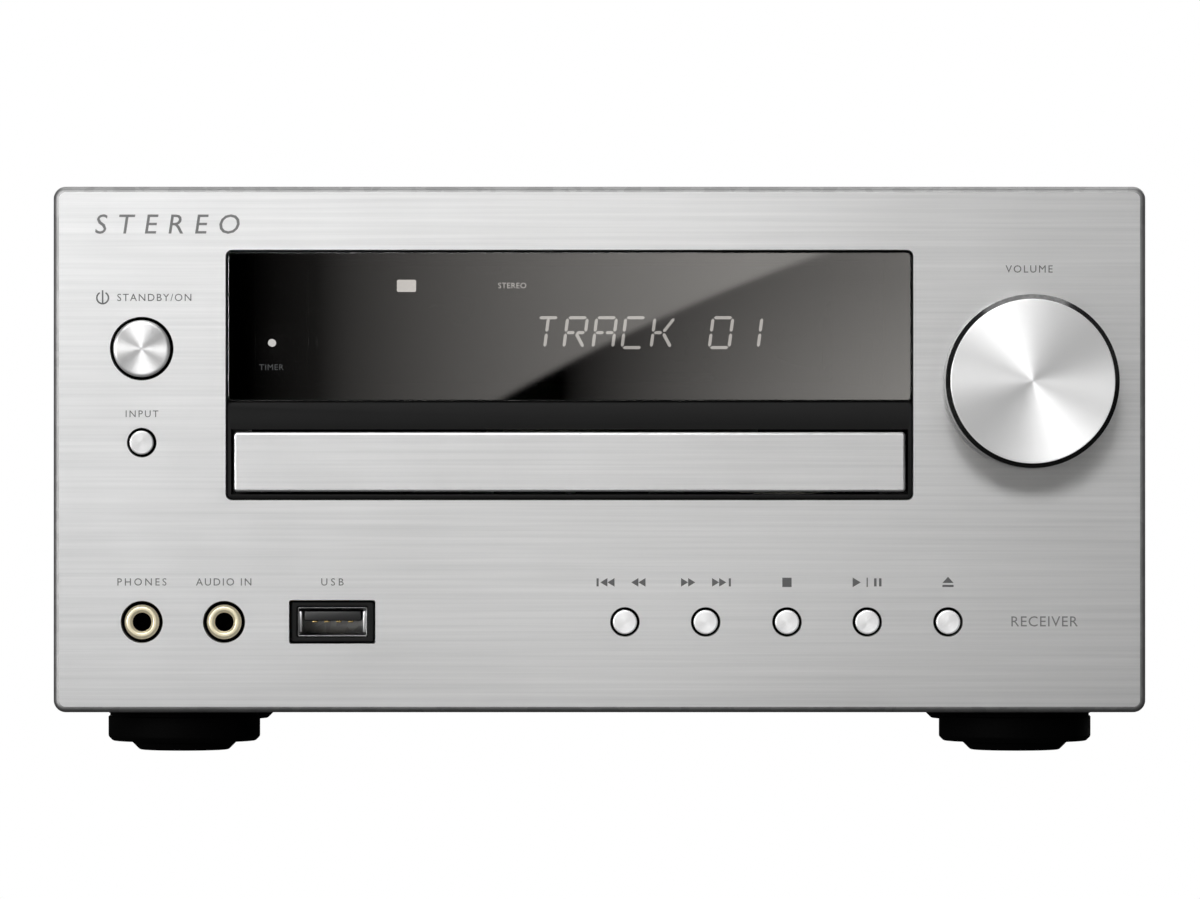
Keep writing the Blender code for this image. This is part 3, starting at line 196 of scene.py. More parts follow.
def inside(point, outline):
    """Whether a point is inside an outline, by counting the edges that a ray to +U crosses."""
    u, v = point
    crossings = 0
    for (u0, v0), (u1, v1) in zip(outline, outline[1:] + outline[:1]):
        if (v0 > v) != (v1 > v) and u < u0 + (v - v0) / (v1 - v0) * (u1 - u0):
            crossings += 1
    return crossings % 2 == 1


def triangles(loops):
    """The first outline less the others as triangles of point numbers, counted through them all."""
    points = [Vector(point) for loop in loops for point in loop]
    edges = []
    first = 0
    for loop in loops:
        count = len(loop)
        edges += [(first + i, first + (i + 1) % count) for i in range(count)]
        first += count
    places, _, faces, origins, _, _ = delaunay_2d_cdt(points, edges, [], 1, 1e-9)
    found = []
    for face in faces:
        centre = sum((places[i] for i in face), Vector((0, 0))) / 3
        if inside(centre, loops[0]) and not any(inside(centre, hole) for hole in loops[1:]):
            found.append([origins[i][0] for i in face])
    return found


def new_object(points, faces, sharp=30, flat=None):
    """A closed mesh object, facing outwards, smooth up to sharp degrees.

    The edges of faces across the axis flat stay sharp, so that broad ends are shaded flat."""
    work = bmesh.new()
    corners = [work.verts.new(point) for point in points]
    for face in faces:
        work.faces.new([corners[i] for i in face])
    bmesh.ops.remove_doubles(work, verts=work.verts, dist=1e-7)
    bmesh.ops.recalc_face_normals(work, faces=work.faces)
    for face in work.faces:
        face.smooth = True
    for edge in work.edges:
        if len(edge.link_faces) != 2:
            continue
        bend = edge.calc_face_angle(0)
        across = flat and [abs(face.normal.dot(flat)) > 0.99999 for face in edge.link_faces]
        edge.smooth = bend < math.radians(sharp) and not (across and across[0] != across[1])
    mesh = bpy.data.meshes.new("solid")
    work.to_mesh(mesh)
    work.free()
    return linked("solid", mesh)


def slab(walls, axis="Y"):
    """A solid with flat ends. The first wall goes round it, and the others round its holes."""
    points = []
    faces = []
    ends = ([], [])
    for rings in walls:
        loops = []
        for outline, level in rings:
            loops.append(range(len(points), len(points) + len(outline)))
            points.extend(DIRECTIONS[axis](u, v, level) for u, v in outline)
        for lower, upper in zip(loops, loops[1:]):
            for i in range(len(lower)):
                j = (i + 1) % len(lower)
                faces.append((lower[i], lower[j], upper[j], upper[i]))
        ends[0].append((rings[0][0], loops[0]))
        ends[1].append((rings[-1][0], loops[-1]))
    for end in ends:
        order = [i for _, loop in end for i in loop]
        for triangle in triangles([list(outline) for outline, _ in end]):
            faces.append([order[i] for i in triangle])
    return new_object(points, faces, flat=Vector(DIRECTIONS[axis](0, 0, 1)))


def prism(outline, start, end, axis="Y"):
    return slab([[(outline, start), (outline, end)]], axis)


def block(x0, x1, y0, y1, z0, z1, edge=0.2 * MM):
    """A box with rounded edges."""
    shape = panel(x0, x1, y0, y1, edge * 1.2, 3)
    return slab([wall(shape, z0, z1, (edge, edge), steps=3)], "Z")


def turned(profile, centre, axis="Y", sides=64, sharp=40, soft=0.1 * MM):
    """A profile of (radius, level) points turned about an axis through centre (u, v).

    Its corners are rounded to soft. A profile that starts and ends on the axis closes there, and
    any other closes on itself."""
    profile = softened(profile, soft) if soft else profile
    points = []
    rings = []
    for radius, level in profile:
        first = len(points)
        ring = [centre] if radius < 1e-9 else circle(centre, radius, sides)
        points.extend(DIRECTIONS[axis](u, v, level) for u, v in ring)
        rings.append(range(first, first + len(ring)))
    faces = []
    pairs = list(zip(rings, rings[1:]))
    if profile[0][0] > 1e-9:
        pairs.append((rings[-1], rings[0]))
    for lower, upper in pairs:
        for i in range(sides):
            j = (i + 1) % sides
            ends = (lower[i % len(lower)], lower[j % len(lower)])
            ends += (upper[j % len(upper)], upper[i % len(upper)])
            face = list(dict.fromkeys(ends))
            if len(face) > 2:
                faces.append(face)
    return new_object(points, faces, sharp)


def applied(solid):
    """The object with its modifiers made part of its mesh."""
    graph = bpy.context.evaluated_depsgraph_get()
    result = bpy.data.meshes.new_from_object(solid.evaluated_get(graph))
    solid.modifiers.clear()
    before = solid.data
    solid.data = result
    bpy.data.meshes.remove(before)
    return solid


def merged(*solids):
    """Several objects as one, each still a closed shell of its own."""
    work = bmesh.new()
    for solid in solids:
        work.from_mesh(solid.data)
    work.to_mesh(solids[0].data)
    work.free()
    for solid in solids[1:]:
        bpy.data.objects.remove(solid)
    return solids[0]


def cut(solid, tools):
    """The solid with each tool cut from it. The tools are used up."""
    for tool in tools:
        modifier = solid.modifiers.new("tool", "BOOLEAN")
        modifier.operation = "DIFFERENCE"
        modifier.solver = "EXACT"
        modifier.object = tool
    applied(solid)
    for tool in tools:
        bpy.data.objects.remove(tool)
    return solid


def bevelled(solid, width, segments=2):
    """Every sharp edge rounded, with the flat faces still shaded flat."""
    work = bmesh.new()
    work.from_mesh(solid.data)
    bmesh.ops.remove_doubles(work, verts=work.verts, dist=2e-6)
    limit = math.radians(0.6)
    bmesh.ops.dissolve_limit(work, angle_limit=limit, verts=work.verts, edges=work.edges)
    for face in work.faces:
        face.smooth = True
    work.to_mesh(solid.data)
    work.free()
    modifier = solid.modifiers.new("edges", "BEVEL")
    modifier.width = width
    modifier.segments = segments
    modifier.limit_method = "ANGLE"
    modifier.angle_limit = math.radians(35)
    modifier.harden_normals = True
    return applied(solid)


def refined(node, width, segments=2):
    """A copy of a node's solid with its edges rounded."""
    return bevelled(linked(node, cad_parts[node].data.copy()), width, segments)


def by_face(solid, count, choose):
    """Makes room for a number of finishes and gives each face the one that choose numbers."""
    solid.data.materials.clear()
    for _ in range(count):
        solid.data.materials.append(None)
    for face in solid.data.polygons:
        face.material_index = int(choose(face))


def piece(solid, name, slot, finish, *nodes, body="chassis"):
    """Names a finished solid, gives it its finish, ties it to its body, and hides the nodes it
    stands for.

    A solid that by_face has seen takes as many finishes as by_face made room for."""
    solid.name = solid.data.name = name
    finishes = [finish] if isinstance(finish, str) else finish
    slots = solid.data.materials
    if len(slots) != len(finishes):
        by_face(solid, len(finishes), lambda face: 0)
    for i, one in enumerate(finishes):
        slots[i] = FINISH[one]
    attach(solid, body)
    if nodes:
        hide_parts(*nodes)


# Node trees


def node(tree, kind, sources=(), **settings):
    """A new node. Each source is (input, value or the output that feeds it)."""
    made = tree.nodes.new(kind)
    for key, value in settings.items():
        setattr(made, key, value)
    for key, value in sources:
        if isinstance(value, bpy.types.NodeSocket):
            tree.links.new(value, made.inputs[key])
        else:
            made.inputs[key].default_value = value
    return made


def maths(tree, operation, *values):
    return node(tree, "ShaderNodeMath", list(enumerate(values)), operation=operation).outputs[0]


def vectors(tree, operation, *values):
    made = node(tree, "ShaderNodeVectorMath", list(enumerate(values)), operation=operation)
    return made.outputs[0]


def mixed(tree, factor, first, second):
    """A colour between two."""
    sources = [(0, factor), (6, first), (7, second)]
    return node(tree, "ShaderNodeMix", sources, data_type="RGBA").outputs[2]


def ranged(tree, value, low, high, to_low=0.0, to_high=1.0):
    sources = [(0, value), (1, low), (2, high), (3, to_low), (4, to_high)]
    return node(tree, "ShaderNodeMapRange", sources).outputs[0]


def noise(tree, vector, scale, detail=2.0, roughness=0.5):
    sources = [("Vector", vector), ("Scale", scale), ("Detail", detail), ("Roughness", roughness)]
    return node(tree, "ShaderNodeTexNoise", sources).outputs["Fac"]


def tree_of(kind, name, inputs, outputs):
    """A new node tree with its sockets, and its input and output nodes."""
    tree = bpy.data.node_groups.new(name, kind)
    for socket, socket_kind, value in inputs:
        made = tree.interface.new_socket(socket, in_out="INPUT", socket_type=socket_kind)
        if value is not None:
            made.default_value = value
    for socket, socket_kind in outputs:
        tree.interface.new_socket(socket, in_out="OUTPUT", socket_type=socket_kind)
    start = tree.nodes.new("NodeGroupInput")
    end = tree.nodes.new("NodeGroupOutput")
    return tree, start, end


def effect(build, inputs, outputs):
    """A shader node group on a place, which gives the numbers that build makes."""
    sockets = [("Vector", "NodeSocketVector", None), *inputs]
    named = [(output, "NodeSocketFloat") for output in outputs]
    tree, start, end = tree_of("ShaderNodeTree", build.__name__, sockets, named)
    for output, value in zip(outputs, build(tree, start.outputs)):
        tree.links.new(value, end.inputs[output])
    return tree


# Each pattern gives a tone and a height, both about 0 to 1


def hairlines(tree, given):
    """Fine scratches from brushing: noise drawn out along one direction, at two widths."""
    stretched = vectors(tree, "MULTIPLY", given["Vector"], given["Stretch"])
    wide = noise(tree, stretched, 1.0, 3.0, 0.6)
    fine = noise(tree, vectors(tree, "MULTIPLY", stretched, (1.7, 1.7, 5.3)), 1.0, 2.0, 0.7)
    return wide, maths(tree, "MULTIPLY_ADD", fine, 0.6, maths(tree, "MULTIPLY", wide, 0.4))


def turning_marks(tree, given):
    """Rings left by a lathe tool, as noise that depends only on the distance from an axis."""
    offset = vectors(tree, "SUBTRACT", given["Vector"], given["Centre"])
    flat = vectors(tree, "MULTIPLY", offset, given["Plane"])
    reach = node(tree, "ShaderNodeVectorMath", [(0, flat)], operation="LENGTH").outputs["Value"]
    rings = node(
        tree, "ShaderNodeTexNoise",
        [("W", maths(tree, "DIVIDE", reach, given["Spacing"])), ("Scale", 1.0), ("Detail", 2.0)],
        noise_dimensions="1D",
    ).outputs["Fac"]
    return rings, rings


def moulded_grain(tree, given):
    """The fine spark-eroded grain of moulded plastic, or the orange peel of paint."""
    scale = maths(tree, "DIVIDE", 1.0, given["Size"])
    cells = node(
        tree, "ShaderNodeTexVoronoi", [("Vector", given["Vector"]), ("Scale", scale)],
        feature="SMOOTH_F1",
    ).outputs["Distance"]
    cloud = noise(tree, given["Vector"], 60.0, 3.0)
    rough = noise(tree, given["Vector"], scale, 3.0, 0.6)
    return cloud, maths(tree, "MULTIPLY_ADD", cells, 0.5, maths(tree, "MULTIPLY", rough, 0.5))


def spangle(tree, given):
    """The flat crystals of zinc on steel sheet, each with its own brightness."""
    warp = noise(tree, given["Vector"], 180.0, 2.0)
    moved = vectors(tree, "MULTIPLY_ADD", warp, (0.004, 0.004, 0.004), given["Vector"])
    scale = maths(tree, "DIVIDE", 1.0, given["Size"])
    cells = node(tree, "ShaderNodeTexVoronoi", [("Vector", moved), ("Scale", scale)])
    grey = node(tree, "ShaderNodeSeparateColor", [(0, cells.outputs["Color"])]).outputs[0]
    return grey, noise(tree, given["Vector"], 900.0, 2.0)


def copper_tracks(tree, given):
    """Straight tracks under solder mask: the edges between square cells at two sizes."""
    found = []
    for size, width in ((7.0 * MM, 0.035), (2.6 * MM, 0.06)):
        sources = [("Vector", given["Vector"]), ("Scale", 1 / size), ("Randomness", 0.7)]
        cells = node(tree, "ShaderNodeTexVoronoi", sources, distance="CHEBYCHEV", feature="F1")
        second = node(tree, "ShaderNodeTexVoronoi", sources, distance="CHEBYCHEV", feature="F2")
        gap = maths(tree, "SUBTRACT", second.outputs["Distance"], cells.outputs["Distance"])
        found.append(ranged(tree, gap, width, width * 2.2, 1.0, 0.0))
    tracks = maths(tree, "MAXIMUM", *found)
    return tracks, maths(tree, "MULTIPLY_ADD", tracks, 0.7, noise(tree, given["Vector"], 400.0))


def layers(tree, given):
    """Thin parallel layers, such as the sheets of a core or the wires of a flat cable."""
    sources = [("Vector", vectors(tree, "MULTIPLY", given["Vector"], given["Stretch"]))]
    sources += [("Scale", 1.0), ("Distortion", 0.4), ("Detail", 2.0), ("Detail Scale", 0.3)]
    bands = node(tree, "ShaderNodeTexWave", sources, bands_direction="DIAGONAL").outputs["Fac"]
    return bands, bands


def patina(tree, given):
    """Roughness that drifts a little over a surface, with faint smears where it is handled."""
    wide = noise(tree, given["Vector"], 14.0, 3.0, 0.6)
    smear = noise(tree, vectors(tree, "MULTIPLY", given["Vector"], (90.0, 90.0, 260.0)), 1.0, 4.0)
    drift = maths(tree, "ADD", wide, maths(tree, "MULTIPLY", smear, 0.5))
    spread = maths(tree, "MULTIPLY", maths(tree, "SUBTRACT", drift, 0.75), given["Spread"])
    return [maths(tree, "ADD", given["Roughness"], spread)]


SIZE = ("Size", "NodeSocketFloat", 0.4 * MM)
STRETCH = ("Stretch", "NodeSocketVector", (12.0, 12.0, 900.0))
TURNING = [
    ("Centre", "NodeSocketVector", (0.0, 0.0, 0.0)),
    ("Plane", "NodeSocketVector", (1.0, 0.0, 1.0)),
    ("Spacing", "NodeSocketFloat", 0.08 * MM),
]
WEAR = [("Roughness", "NodeSocketFloat", 0.4), ("Spread", "NodeSocketFloat", 0.1)]
PATTERNS = {
    build.__name__: effect(build, inputs, ("Tone", "Height"))
    for build, inputs in (
        (hairlines, [STRETCH]), (turning_marks, TURNING), (moulded_grain, [SIZE]),
        (spangle, [SIZE]), (copper_tracks, []), (layers, [STRETCH]),
    )
}
PATINA = effect(patina, WEAR, ("Roughness",))


def grouped(tree, group, values):
    """A group node on Object coordinates, with its own values."""
    made = tree.nodes.new("ShaderNodeGroup")
    made.node_tree = group
    place = node(tree, "ShaderNodeTexCoord").outputs["Object"]
    tree.links.new(place, made.inputs["Vector"])
    for key, value in values.items():
        made.inputs[key].default_value = value
    return made


FINISH = {}  # every finish by its name, as surface makes them


def surface(name, dark, light, roughness, spread, relief, texture, shader=(), **values):
    """A material between two colours by its pattern's tone, with the pattern's relief in metres."""
    made = FINISH[name] = bpy.data.materials.new(name)
    made.use_nodes = True
    tree = made.node_tree
    principled = tree.nodes["Principled BSDF"]
    marks = grouped(tree, PATTERNS[texture], values)
    worn = grouped(tree, PATINA, {"Roughness": roughness, "Spread": spread})
    tone = ranged(tree, marks.outputs["Tone"], 0.25, 0.75)
    colour = mixed(tree, tone, (*dark, 1), (*light, 1))
    bump = node(
        tree, "ShaderNodeBump",
        [("Height", marks.outputs["Height"]), ("Strength", 1.0), ("Distance", relief)],
    )
    tree.links.new(colour, principled.inputs["Base Color"])
    tree.links.new(worn.outputs["Roughness"], principled.inputs["Roughness"])
    tree.links.new(bump.outputs["Normal"], principled.inputs["Normal"])
    for key, value in dict(shader).items():
        principled.inputs[key].default_value = value
    return made


def grey(value, tint=(1.0, 1.0, 1.0)):
    return tuple(value * part for part in tint)


def grained(made, kind, sources=(), **settings):
    """Gives the highlights of a metal the direction that a node of this kind puts out."""
    tree = made.node_tree
    held = node(tree, kind, sources, **settings)
    tree.links.new(held.outputs[0], tree.nodes["Principled BSDF"].inputs["Tangent"])


def brushed_aluminium():
    """Metal whose highlights spread up and down, across its scratches."""
    made = surface(
        "brushed_aluminium", grey(0.8, (1.0, 1.005, 1.005)), grey(0.93), 0.3, 0.05, 0.006 * MM,
        "hairlines", {"Metallic": 1.0, "Anisotropic": 0.55}, Stretch=(14.0, 14.0, 1500.0),
    )
    grained(made, "ShaderNodeCombineXYZ", [("Z", 1.0)])


def spun_aluminium(name, place, spacing, roughness=0.39, anisotropy=0.72, painted_glow=0.16):
    """Turned metal whose highlights fan out from its middle, with a weak painted glow: emission
    that brightens it though it is no lamp.
    """
    made = surface(
        name, grey(0.82), grey(0.93), roughness, 0.03, 0.004 * MM, "turning_marks",
        {"Metallic": 1.0, "Anisotropic": anisotropy, "Anisotropic Rotation": 0.25,
         "Emission Color": (1, 1, 1, 1), "Emission Strength": painted_glow},
        Centre=(place[0], 0.0, place[1]), Spacing=spacing,
    )
    grained(made, "ShaderNodeTangent", direction_type="RADIAL", axis="Y")


def smoked_acrylic():
    surface(
        "smoked_acrylic", grey(0.1, (1.0, 0.98, 0.95)), grey(0.11, (1.0, 0.98, 0.95)), 0.012, 0.01,
        0.00004 * MM, "moulded_grain", {"Transmission Weight": 1.0, "IOR": 1.49}, Size=6 * MM,
    )


def plastic(name, value, roughness, size, relief, tint=(1, 1, 1), sheen=0.5, drift=0.1):
    """Moulded plastic, rubber, paint or ink, with its grain's size and relief in metres."""
    dark, light = grey(value * (1 - drift), tint), grey(value * (1 + drift), tint)
    shader = {"IOR": 1.52, "Specular IOR Level": sheen}
    surface(
        name, dark, light, roughness, drift, relief, "moulded_grain", shader, Size=size
    )


def metal(name, dark, light, roughness, texture="spangle", relief=0.004 * MM, **values):
    shader = {"Metallic": 1.0}
    surface(name, dark, light, roughness, 0.1, relief, texture, shader, **values)


def glowing(name, colour, strength):
    """Lit phosphor, with its own fine grain."""
    surface(
        name, grey(0.5), grey(0.6), 0.6, 0.1, 0.01 * MM, "moulded_grain",
        {"Emission Color": (*colour, 1), "Emission Strength": strength}, Size=0.2 * MM,
    )


# Value, roughness, size and relief of the grain in millimetres, and what else is its own
PLASTICS = {
    "cover_paint": (0.5, 0.4, 0.5, 0.02, {"tint": (1, 1.01, 1.02), "drift": 0.025}),
    "rear_paint": (0.028, 0.45, 0.4, 0.02, {}),
    "black_plastic": (0.018, 0.4, 0.35, 0.012, {}),
    "matte_black": (0.004, 0.6, 0.25, 0.012, {"sheen": 0.22}),
    "foot_rubber": (0.003, 0.7, 0.6, 0.03, {"sheen": 0.06}),
    "belt_rubber": (0.012, 0.6, 0.3, 0.012, {}),
    "white_plastic": (0.72, 0.42, 0.5, 0.01, {"tint": (1.0, 0.97, 0.88)}),
    "resistor_blue": (0.3, 0.4, 0.3, 0.01, {"tint": (0.25, 0.5, 1)}),
    "red_plastic": (0.5, 0.35, 0.4, 0.01, {"tint": (1, 0.03, 0.03)}),
    "dark_ink": (0.13, 0.5, 0.1, 0.002, {}),
    "title_ink": (0.24, 0.5, 0.1, 0.002, {}),
    "pale_ink": (0.62, 0.5, 0.1, 0.002, {}),
}
# Darkest and lightest grey, roughness, and size of the crystals in millimetres
STEELS = {
    "zinc_steel": (0.52, 0.68, 0.36, 5), "plated_steel": (0.3, 0.4, 0.3, 2),
    # The panel's edge metal is a darker, rougher copy of its aluminium: painted shade.
    "screw_steel": (0.16, 0.24, 0.32, 0.5), "shaded_panel_edge": (0.4, 0.46, 0.55, 2),
    # The knob's edge metal is a dark copy of its aluminium: painted shade.
    "shaded_knob_edge": (0.1, 0.14, 0.2, 0.5),
}
LIGHTS = {
    "display_light": ((1.0, 0.97, 0.94), 3.6), "badge_light": ((1.0, 0.97, 0.94), 5.2),
    "dim_light": ((0.9, 0.95, 1.0), 0.8), "lamp_light": ((1.0, 1.0, 1.0), 6.0),
}


def finishes():
    """Makes every finish of the object."""
    brushed_aluminium()
    smoked_acrylic()
    for name, (value, roughness, size, relief, own) in PLASTICS.items():
        plastic(name, value, roughness, size * MM, relief * MM, **own)
    for name, (dark, light, roughness, size) in STEELS.items():
        metal(name, grey(dark), grey(light), roughness, Size=size * MM)
    for name, (colour, strength) in LIGHTS.items():
        glowing(name, colour, strength)
    # The jack gold's emission is painted light: it brightens the collars though they are no lamps.
    painted_gold_glow = {"Metallic": 1.0, "Emission Color": (1.0, 0.9, 0.66, 1), "Emission Strength": 0.2}
    metal("gold_plate", (0.75, 0.52, 0.2), (0.86, 0.65, 0.3), 0.26, "moulded_grain",
          Size=0.3 * MM)
    surface("jack_gold", (0.86, 0.76, 0.5), (0.93, 0.86, 0.64), 0.34, 0.05, 0.002 * MM,
            "turning_marks", painted_gold_glow, Spacing=0.2 * MM)
    metal("brass", (0.6, 0.43, 0.16), (0.72, 0.54, 0.24), 0.3, Size=0.6 * MM)
    metal("polished_steel", grey(0.66), grey(0.74), 0.14, "moulded_grain", Size=0.4 * MM)
    metal("heat_sink_aluminium", grey(0.5), grey(0.64), 0.42, "hairlines",
          Stretch=(900.0, 900.0, 14.0))
    metal("copper_wire", (0.42, 0.14, 0.05), (0.62, 0.27, 0.12), 0.34, "layers", 0.05 * MM,
          Stretch=(0.0, 9000.0, 0.0))
    metal("transformer_iron", grey(0.1), grey(0.2, (1, 0.93, 0.85)), 0.5, "layers",
          0.03 * MM, Stretch=(0.0, 6000.0, 0.0))
    surface("circuit_board", (0.012, 0.1, 0.035), (0.03, 0.19, 0.07), 0.38, 0.1, 0.03 * MM,
            "copper_tracks")
    surface("black_board", grey(0.004), grey(0.008), 0.4, 0.1, 0.03 * MM, "copper_tracks")
    surface("cable_grey", grey(0.36), grey(0.52), 0.5, 0.1, 0.1 * MM, "layers",
            Stretch=(2500.0, 0.0, 0.0))
    surface("display_glass", grey(0.01), grey(0.016), 0.12, 0.05, 0.001 * MM,
            "moulded_grain", Size=0.4 * MM)
    # Each spun finish glows a little: painted light that brightens the knob and the buttons though
    # they are no lamps, more on the transport buttons than on the input button.
    spun_aluminium("spun_knob", KNOB, 0.07 * MM)
    spun_aluminium("spun_standby", STANDBY, 0.05 * MM, 0.34, 0.75, 0.03)
    for name in SMALL_BUTTONS:
        painted_glow = 0.05 if name == "input_button" else 0.27
        spun_aluminium("spun_" + name, xz(name), 0.05 * MM, 0.36, 0.3, painted_glow)


finishes()


# Geometry Nodes trees for what repeats


def repeated_tree(name, extra_inputs, placing):
    """A tree that puts copies of a shape on points. Placing gives the count, places and turns."""
    inputs = [("Shape", "NodeSocketObject", None), ("Finish", "NodeSocketMaterial", None)]
    inputs += extra_inputs
    tree, start, end = tree_of(
        "GeometryNodeTree", name, inputs, [("Geometry", "NodeSocketGeometry")]
    )
    count, place, turn = placing(tree, start.outputs)
    points = node(tree, "GeometryNodePoints", [("Count", count), ("Position", place)])
    shape = node(tree, "GeometryNodeObjectInfo", [("Object", start.outputs["Shape"])])
    sources = [("Points", points.outputs[0]), ("Instance", shape.outputs["Geometry"])]
    if turn:
        sources.append(("Rotation", turn))
    copies = node(tree, "GeometryNodeInstanceOnPoints", sources)
    real = node(tree, "GeometryNodeRealizeInstances", [(0, copies.outputs[0])])
    sources = [("Geometry", real.outputs[0]), ("Material", start.outputs["Finish"])]
    coloured = node(tree, "GeometryNodeSetMaterial", sources)
    tree.links.new(coloured.outputs[0], end.inputs["Geometry"])
    return tree


def in_rows(tree, given):
    """Columns and rows from a start, each a step from the last."""
    number = node(tree, "GeometryNodeInputIndex").outputs[0]
    count = maths(tree, "MULTIPLY", given["Columns"], given["Rows"])
    column = maths(tree, "MODULO", number, given["Columns"])
    past = maths(tree, "ADD", number, 0.01)
    row = maths(tree, "FLOOR", maths(tree, "DIVIDE", past, given["Columns"]))
    place = given["Start"]
    for steps, step in ((column, given["Column Step"]), (row, given["Row Step"])):
        place = vectors(tree, "MULTIPLY_ADD", step, steps, place)
    return count, place, None


def in_a_ring(tree, given):
    """Copies turned about an axis through a centre."""
    number = node(tree, "GeometryNodeInputIndex").outputs[0]
    share = maths(tree, "DIVIDE", number, given["Count"])
    angle = maths(tree, "MULTIPLY", share, math.tau)
    sources = [("Axis", given["Axis"]), ("Angle", angle)]
    turn = node(tree, "FunctionNodeAxisAngleToRotation", sources)
    return given["Count"], given["Centre"], turn.outputs[0]


ROWS = repeated_tree("rows", [
    ("Columns", "NodeSocketInt", 1), ("Rows", "NodeSocketInt", 1),
    ("Start", "NodeSocketVector", None), ("Column Step", "NodeSocketVector", None),
    ("Row Step", "NodeSocketVector", None),
], in_rows)
RING = repeated_tree("ring", [
    ("Count", "NodeSocketInt", 1), ("Centre", "NodeSocketVector", None),
    ("Axis", "NodeSocketVector", None),
], in_a_ring)


def repeated(tree, shape, finish, **inputs):
    """The tree's result as a plain mesh object. The shape is used up."""
    holder = bpy.data.objects.new("holder", bpy.data.meshes.new("holder"))
    modifier = holder.modifiers.new("repeat", "NODES")
    modifier.node_group = tree
    named = {"Shape": shape, "Finish": FINISH.get(finish)}
    for key, value in inputs.items():
        whole = isinstance(value, int)
        named[key.replace("_", " ")] = value if whole else [float(part) for part in value]
    for item in tree.interface.items_tree:
        if item.in_out == "INPUT" and named.get(item.name) is not None:
            modifier[item.identifier] = named[item.name]
    bpy.context.collection.objects.link(holder)
    applied(holder)
    bpy.data.objects.remove(shape)
    return holder


def rows(shape, finish, start, columns=1, step=(0, 0, 0), lines=1, line_step=(0, 0, 0)):
    return repeated(
        ROWS, shape, finish, Columns=columns, Rows=lines, Start=start, Column_Step=step,
        Row_Step=line_step,
    )


def ring(shape, finish, count, centre, axis):
    return repeated(RING, shape, finish, Count=count, Centre=centre, Axis=axis)


# Printing

CAPITAL_SHARE = 0.73  # of the type size, in the built-in typeface
SIGN_SCALE = 1.22
OVER_SOCKETS = 7.8 * MM

def printed(text, place, height, finish, name, facing=-1, shear=0.0, spacing=1.0):
    """A word printed on a face that looks along facing times Y, its capitals of that height."""
    curve = bpy.data.curves.new(name, "FONT")
    curve.body = text
    curve.align_x = curve.align_y = "CENTER"
    curve.size = height / CAPITAL_SHARE
    curve.shear = shear
    curve.space_character = spacing
    curve.extrude = 0.01 * MM
    curve.resolution_u = 3
    letters = linked(name, curve)
    graph = bpy.context.evaluated_depsgraph_get()
    mesh = bpy.data.meshes.new_from_object(letters.evaluated_get(graph))
    bpy.data.objects.remove(letters)
    x, y, z = place
    turn = Matrix(((-facing, 0, 0, x), (0, 0, facing, y), (0, 1, 0, z), (0, 0, 0, 1)))
    mesh.transform(turn)
    work = bmesh.new()
    work.from_mesh(mesh)
    bmesh.ops.remove_doubles(work, verts=work.verts, dist=1e-7)
    bmesh.ops.recalc_face_normals(work, faces=work.faces)
    work.to_mesh(mesh)
    work.free()
    piece(linked(name, mesh), name, "black_plastic", finish)


def sign(outlines, place, name, finish):
    """A printed symbol of filled outlines in millimetres about a place on the front panel."""
    x, z = place
    back = PANEL_FRONT - 0.005 * MM
    shapes = []
    for outline in outlines:
        moved = [(x + u * MM, z + v * MM) for u, v in outline]
        shapes.append(prism(moved, back, back - 0.02 * MM))
    piece(merged(*shapes), name, "black_plastic", finish)


def front_words():
    """The words beside the controls on the panel."""
    ink = "dark_ink"
    y = PANEL_FRONT - 0.015 * MM
    jack_x = [middle(name).x for name in JACKS]
    over_sockets = SOCKET_LINE + OVER_SOCKETS
    words = (
        ("STANDBY/ON", STANDBY[0] + 2.5 * MM, STANDBY[1] + 10.0 * MM, 1.5, 1.2),
        ("INPUT", STANDBY[0], xz("input_button")[1] + 5.6 * MM, 1.4, 1.3),
        ("PHONES", jack_x[0], over_sockets, 1.5, 1.4),
        ("AUDIO IN", jack_x[1], over_sockets, 1.5, 1.25),
        ("USB", middle("usb_socket").x, over_sockets, 1.5, 1.5),
        ("VOLUME", KNOB[0], KNOB[1] + 22.1 * MM, 1.5, 1.25),
    )
    for text, x, z, height, spacing in words:
        name = "word_" + text.lower().replace(" ", "_").replace("/", "_")
        printed(text, (x, y, z), height * MM, ink, name, spacing=spacing)
    title = (PANEL_LOW.x + 22.3 * MM, y, PANEL_HIGH.z - 7.6 * MM)
    printed("STEREO", title, 4.0 * MM, "title_ink", "word_stereo", shear=0.15, spacing=1.7)
    kind = (PANEL_HIGH.x - 20.0 * MM, y, SOCKET_LINE)
    printed("RECEIVER", kind, 2.1 * MM, "title_ink", "word_receiver", spacing=1.1)


def triangle_sign(u, size, way=1):
    back, tip = u - way * size * 0.5, u + way * size * 0.5
    return [(back, -size * 0.6), (tip, 0), (back, size * 0.6)]


def bar_sign(u, width, height):
    left, right, top = u - width / 2, u + width / 2, height / 2
    return [(left, -top), (right, -top), (right, top), (left, top)]


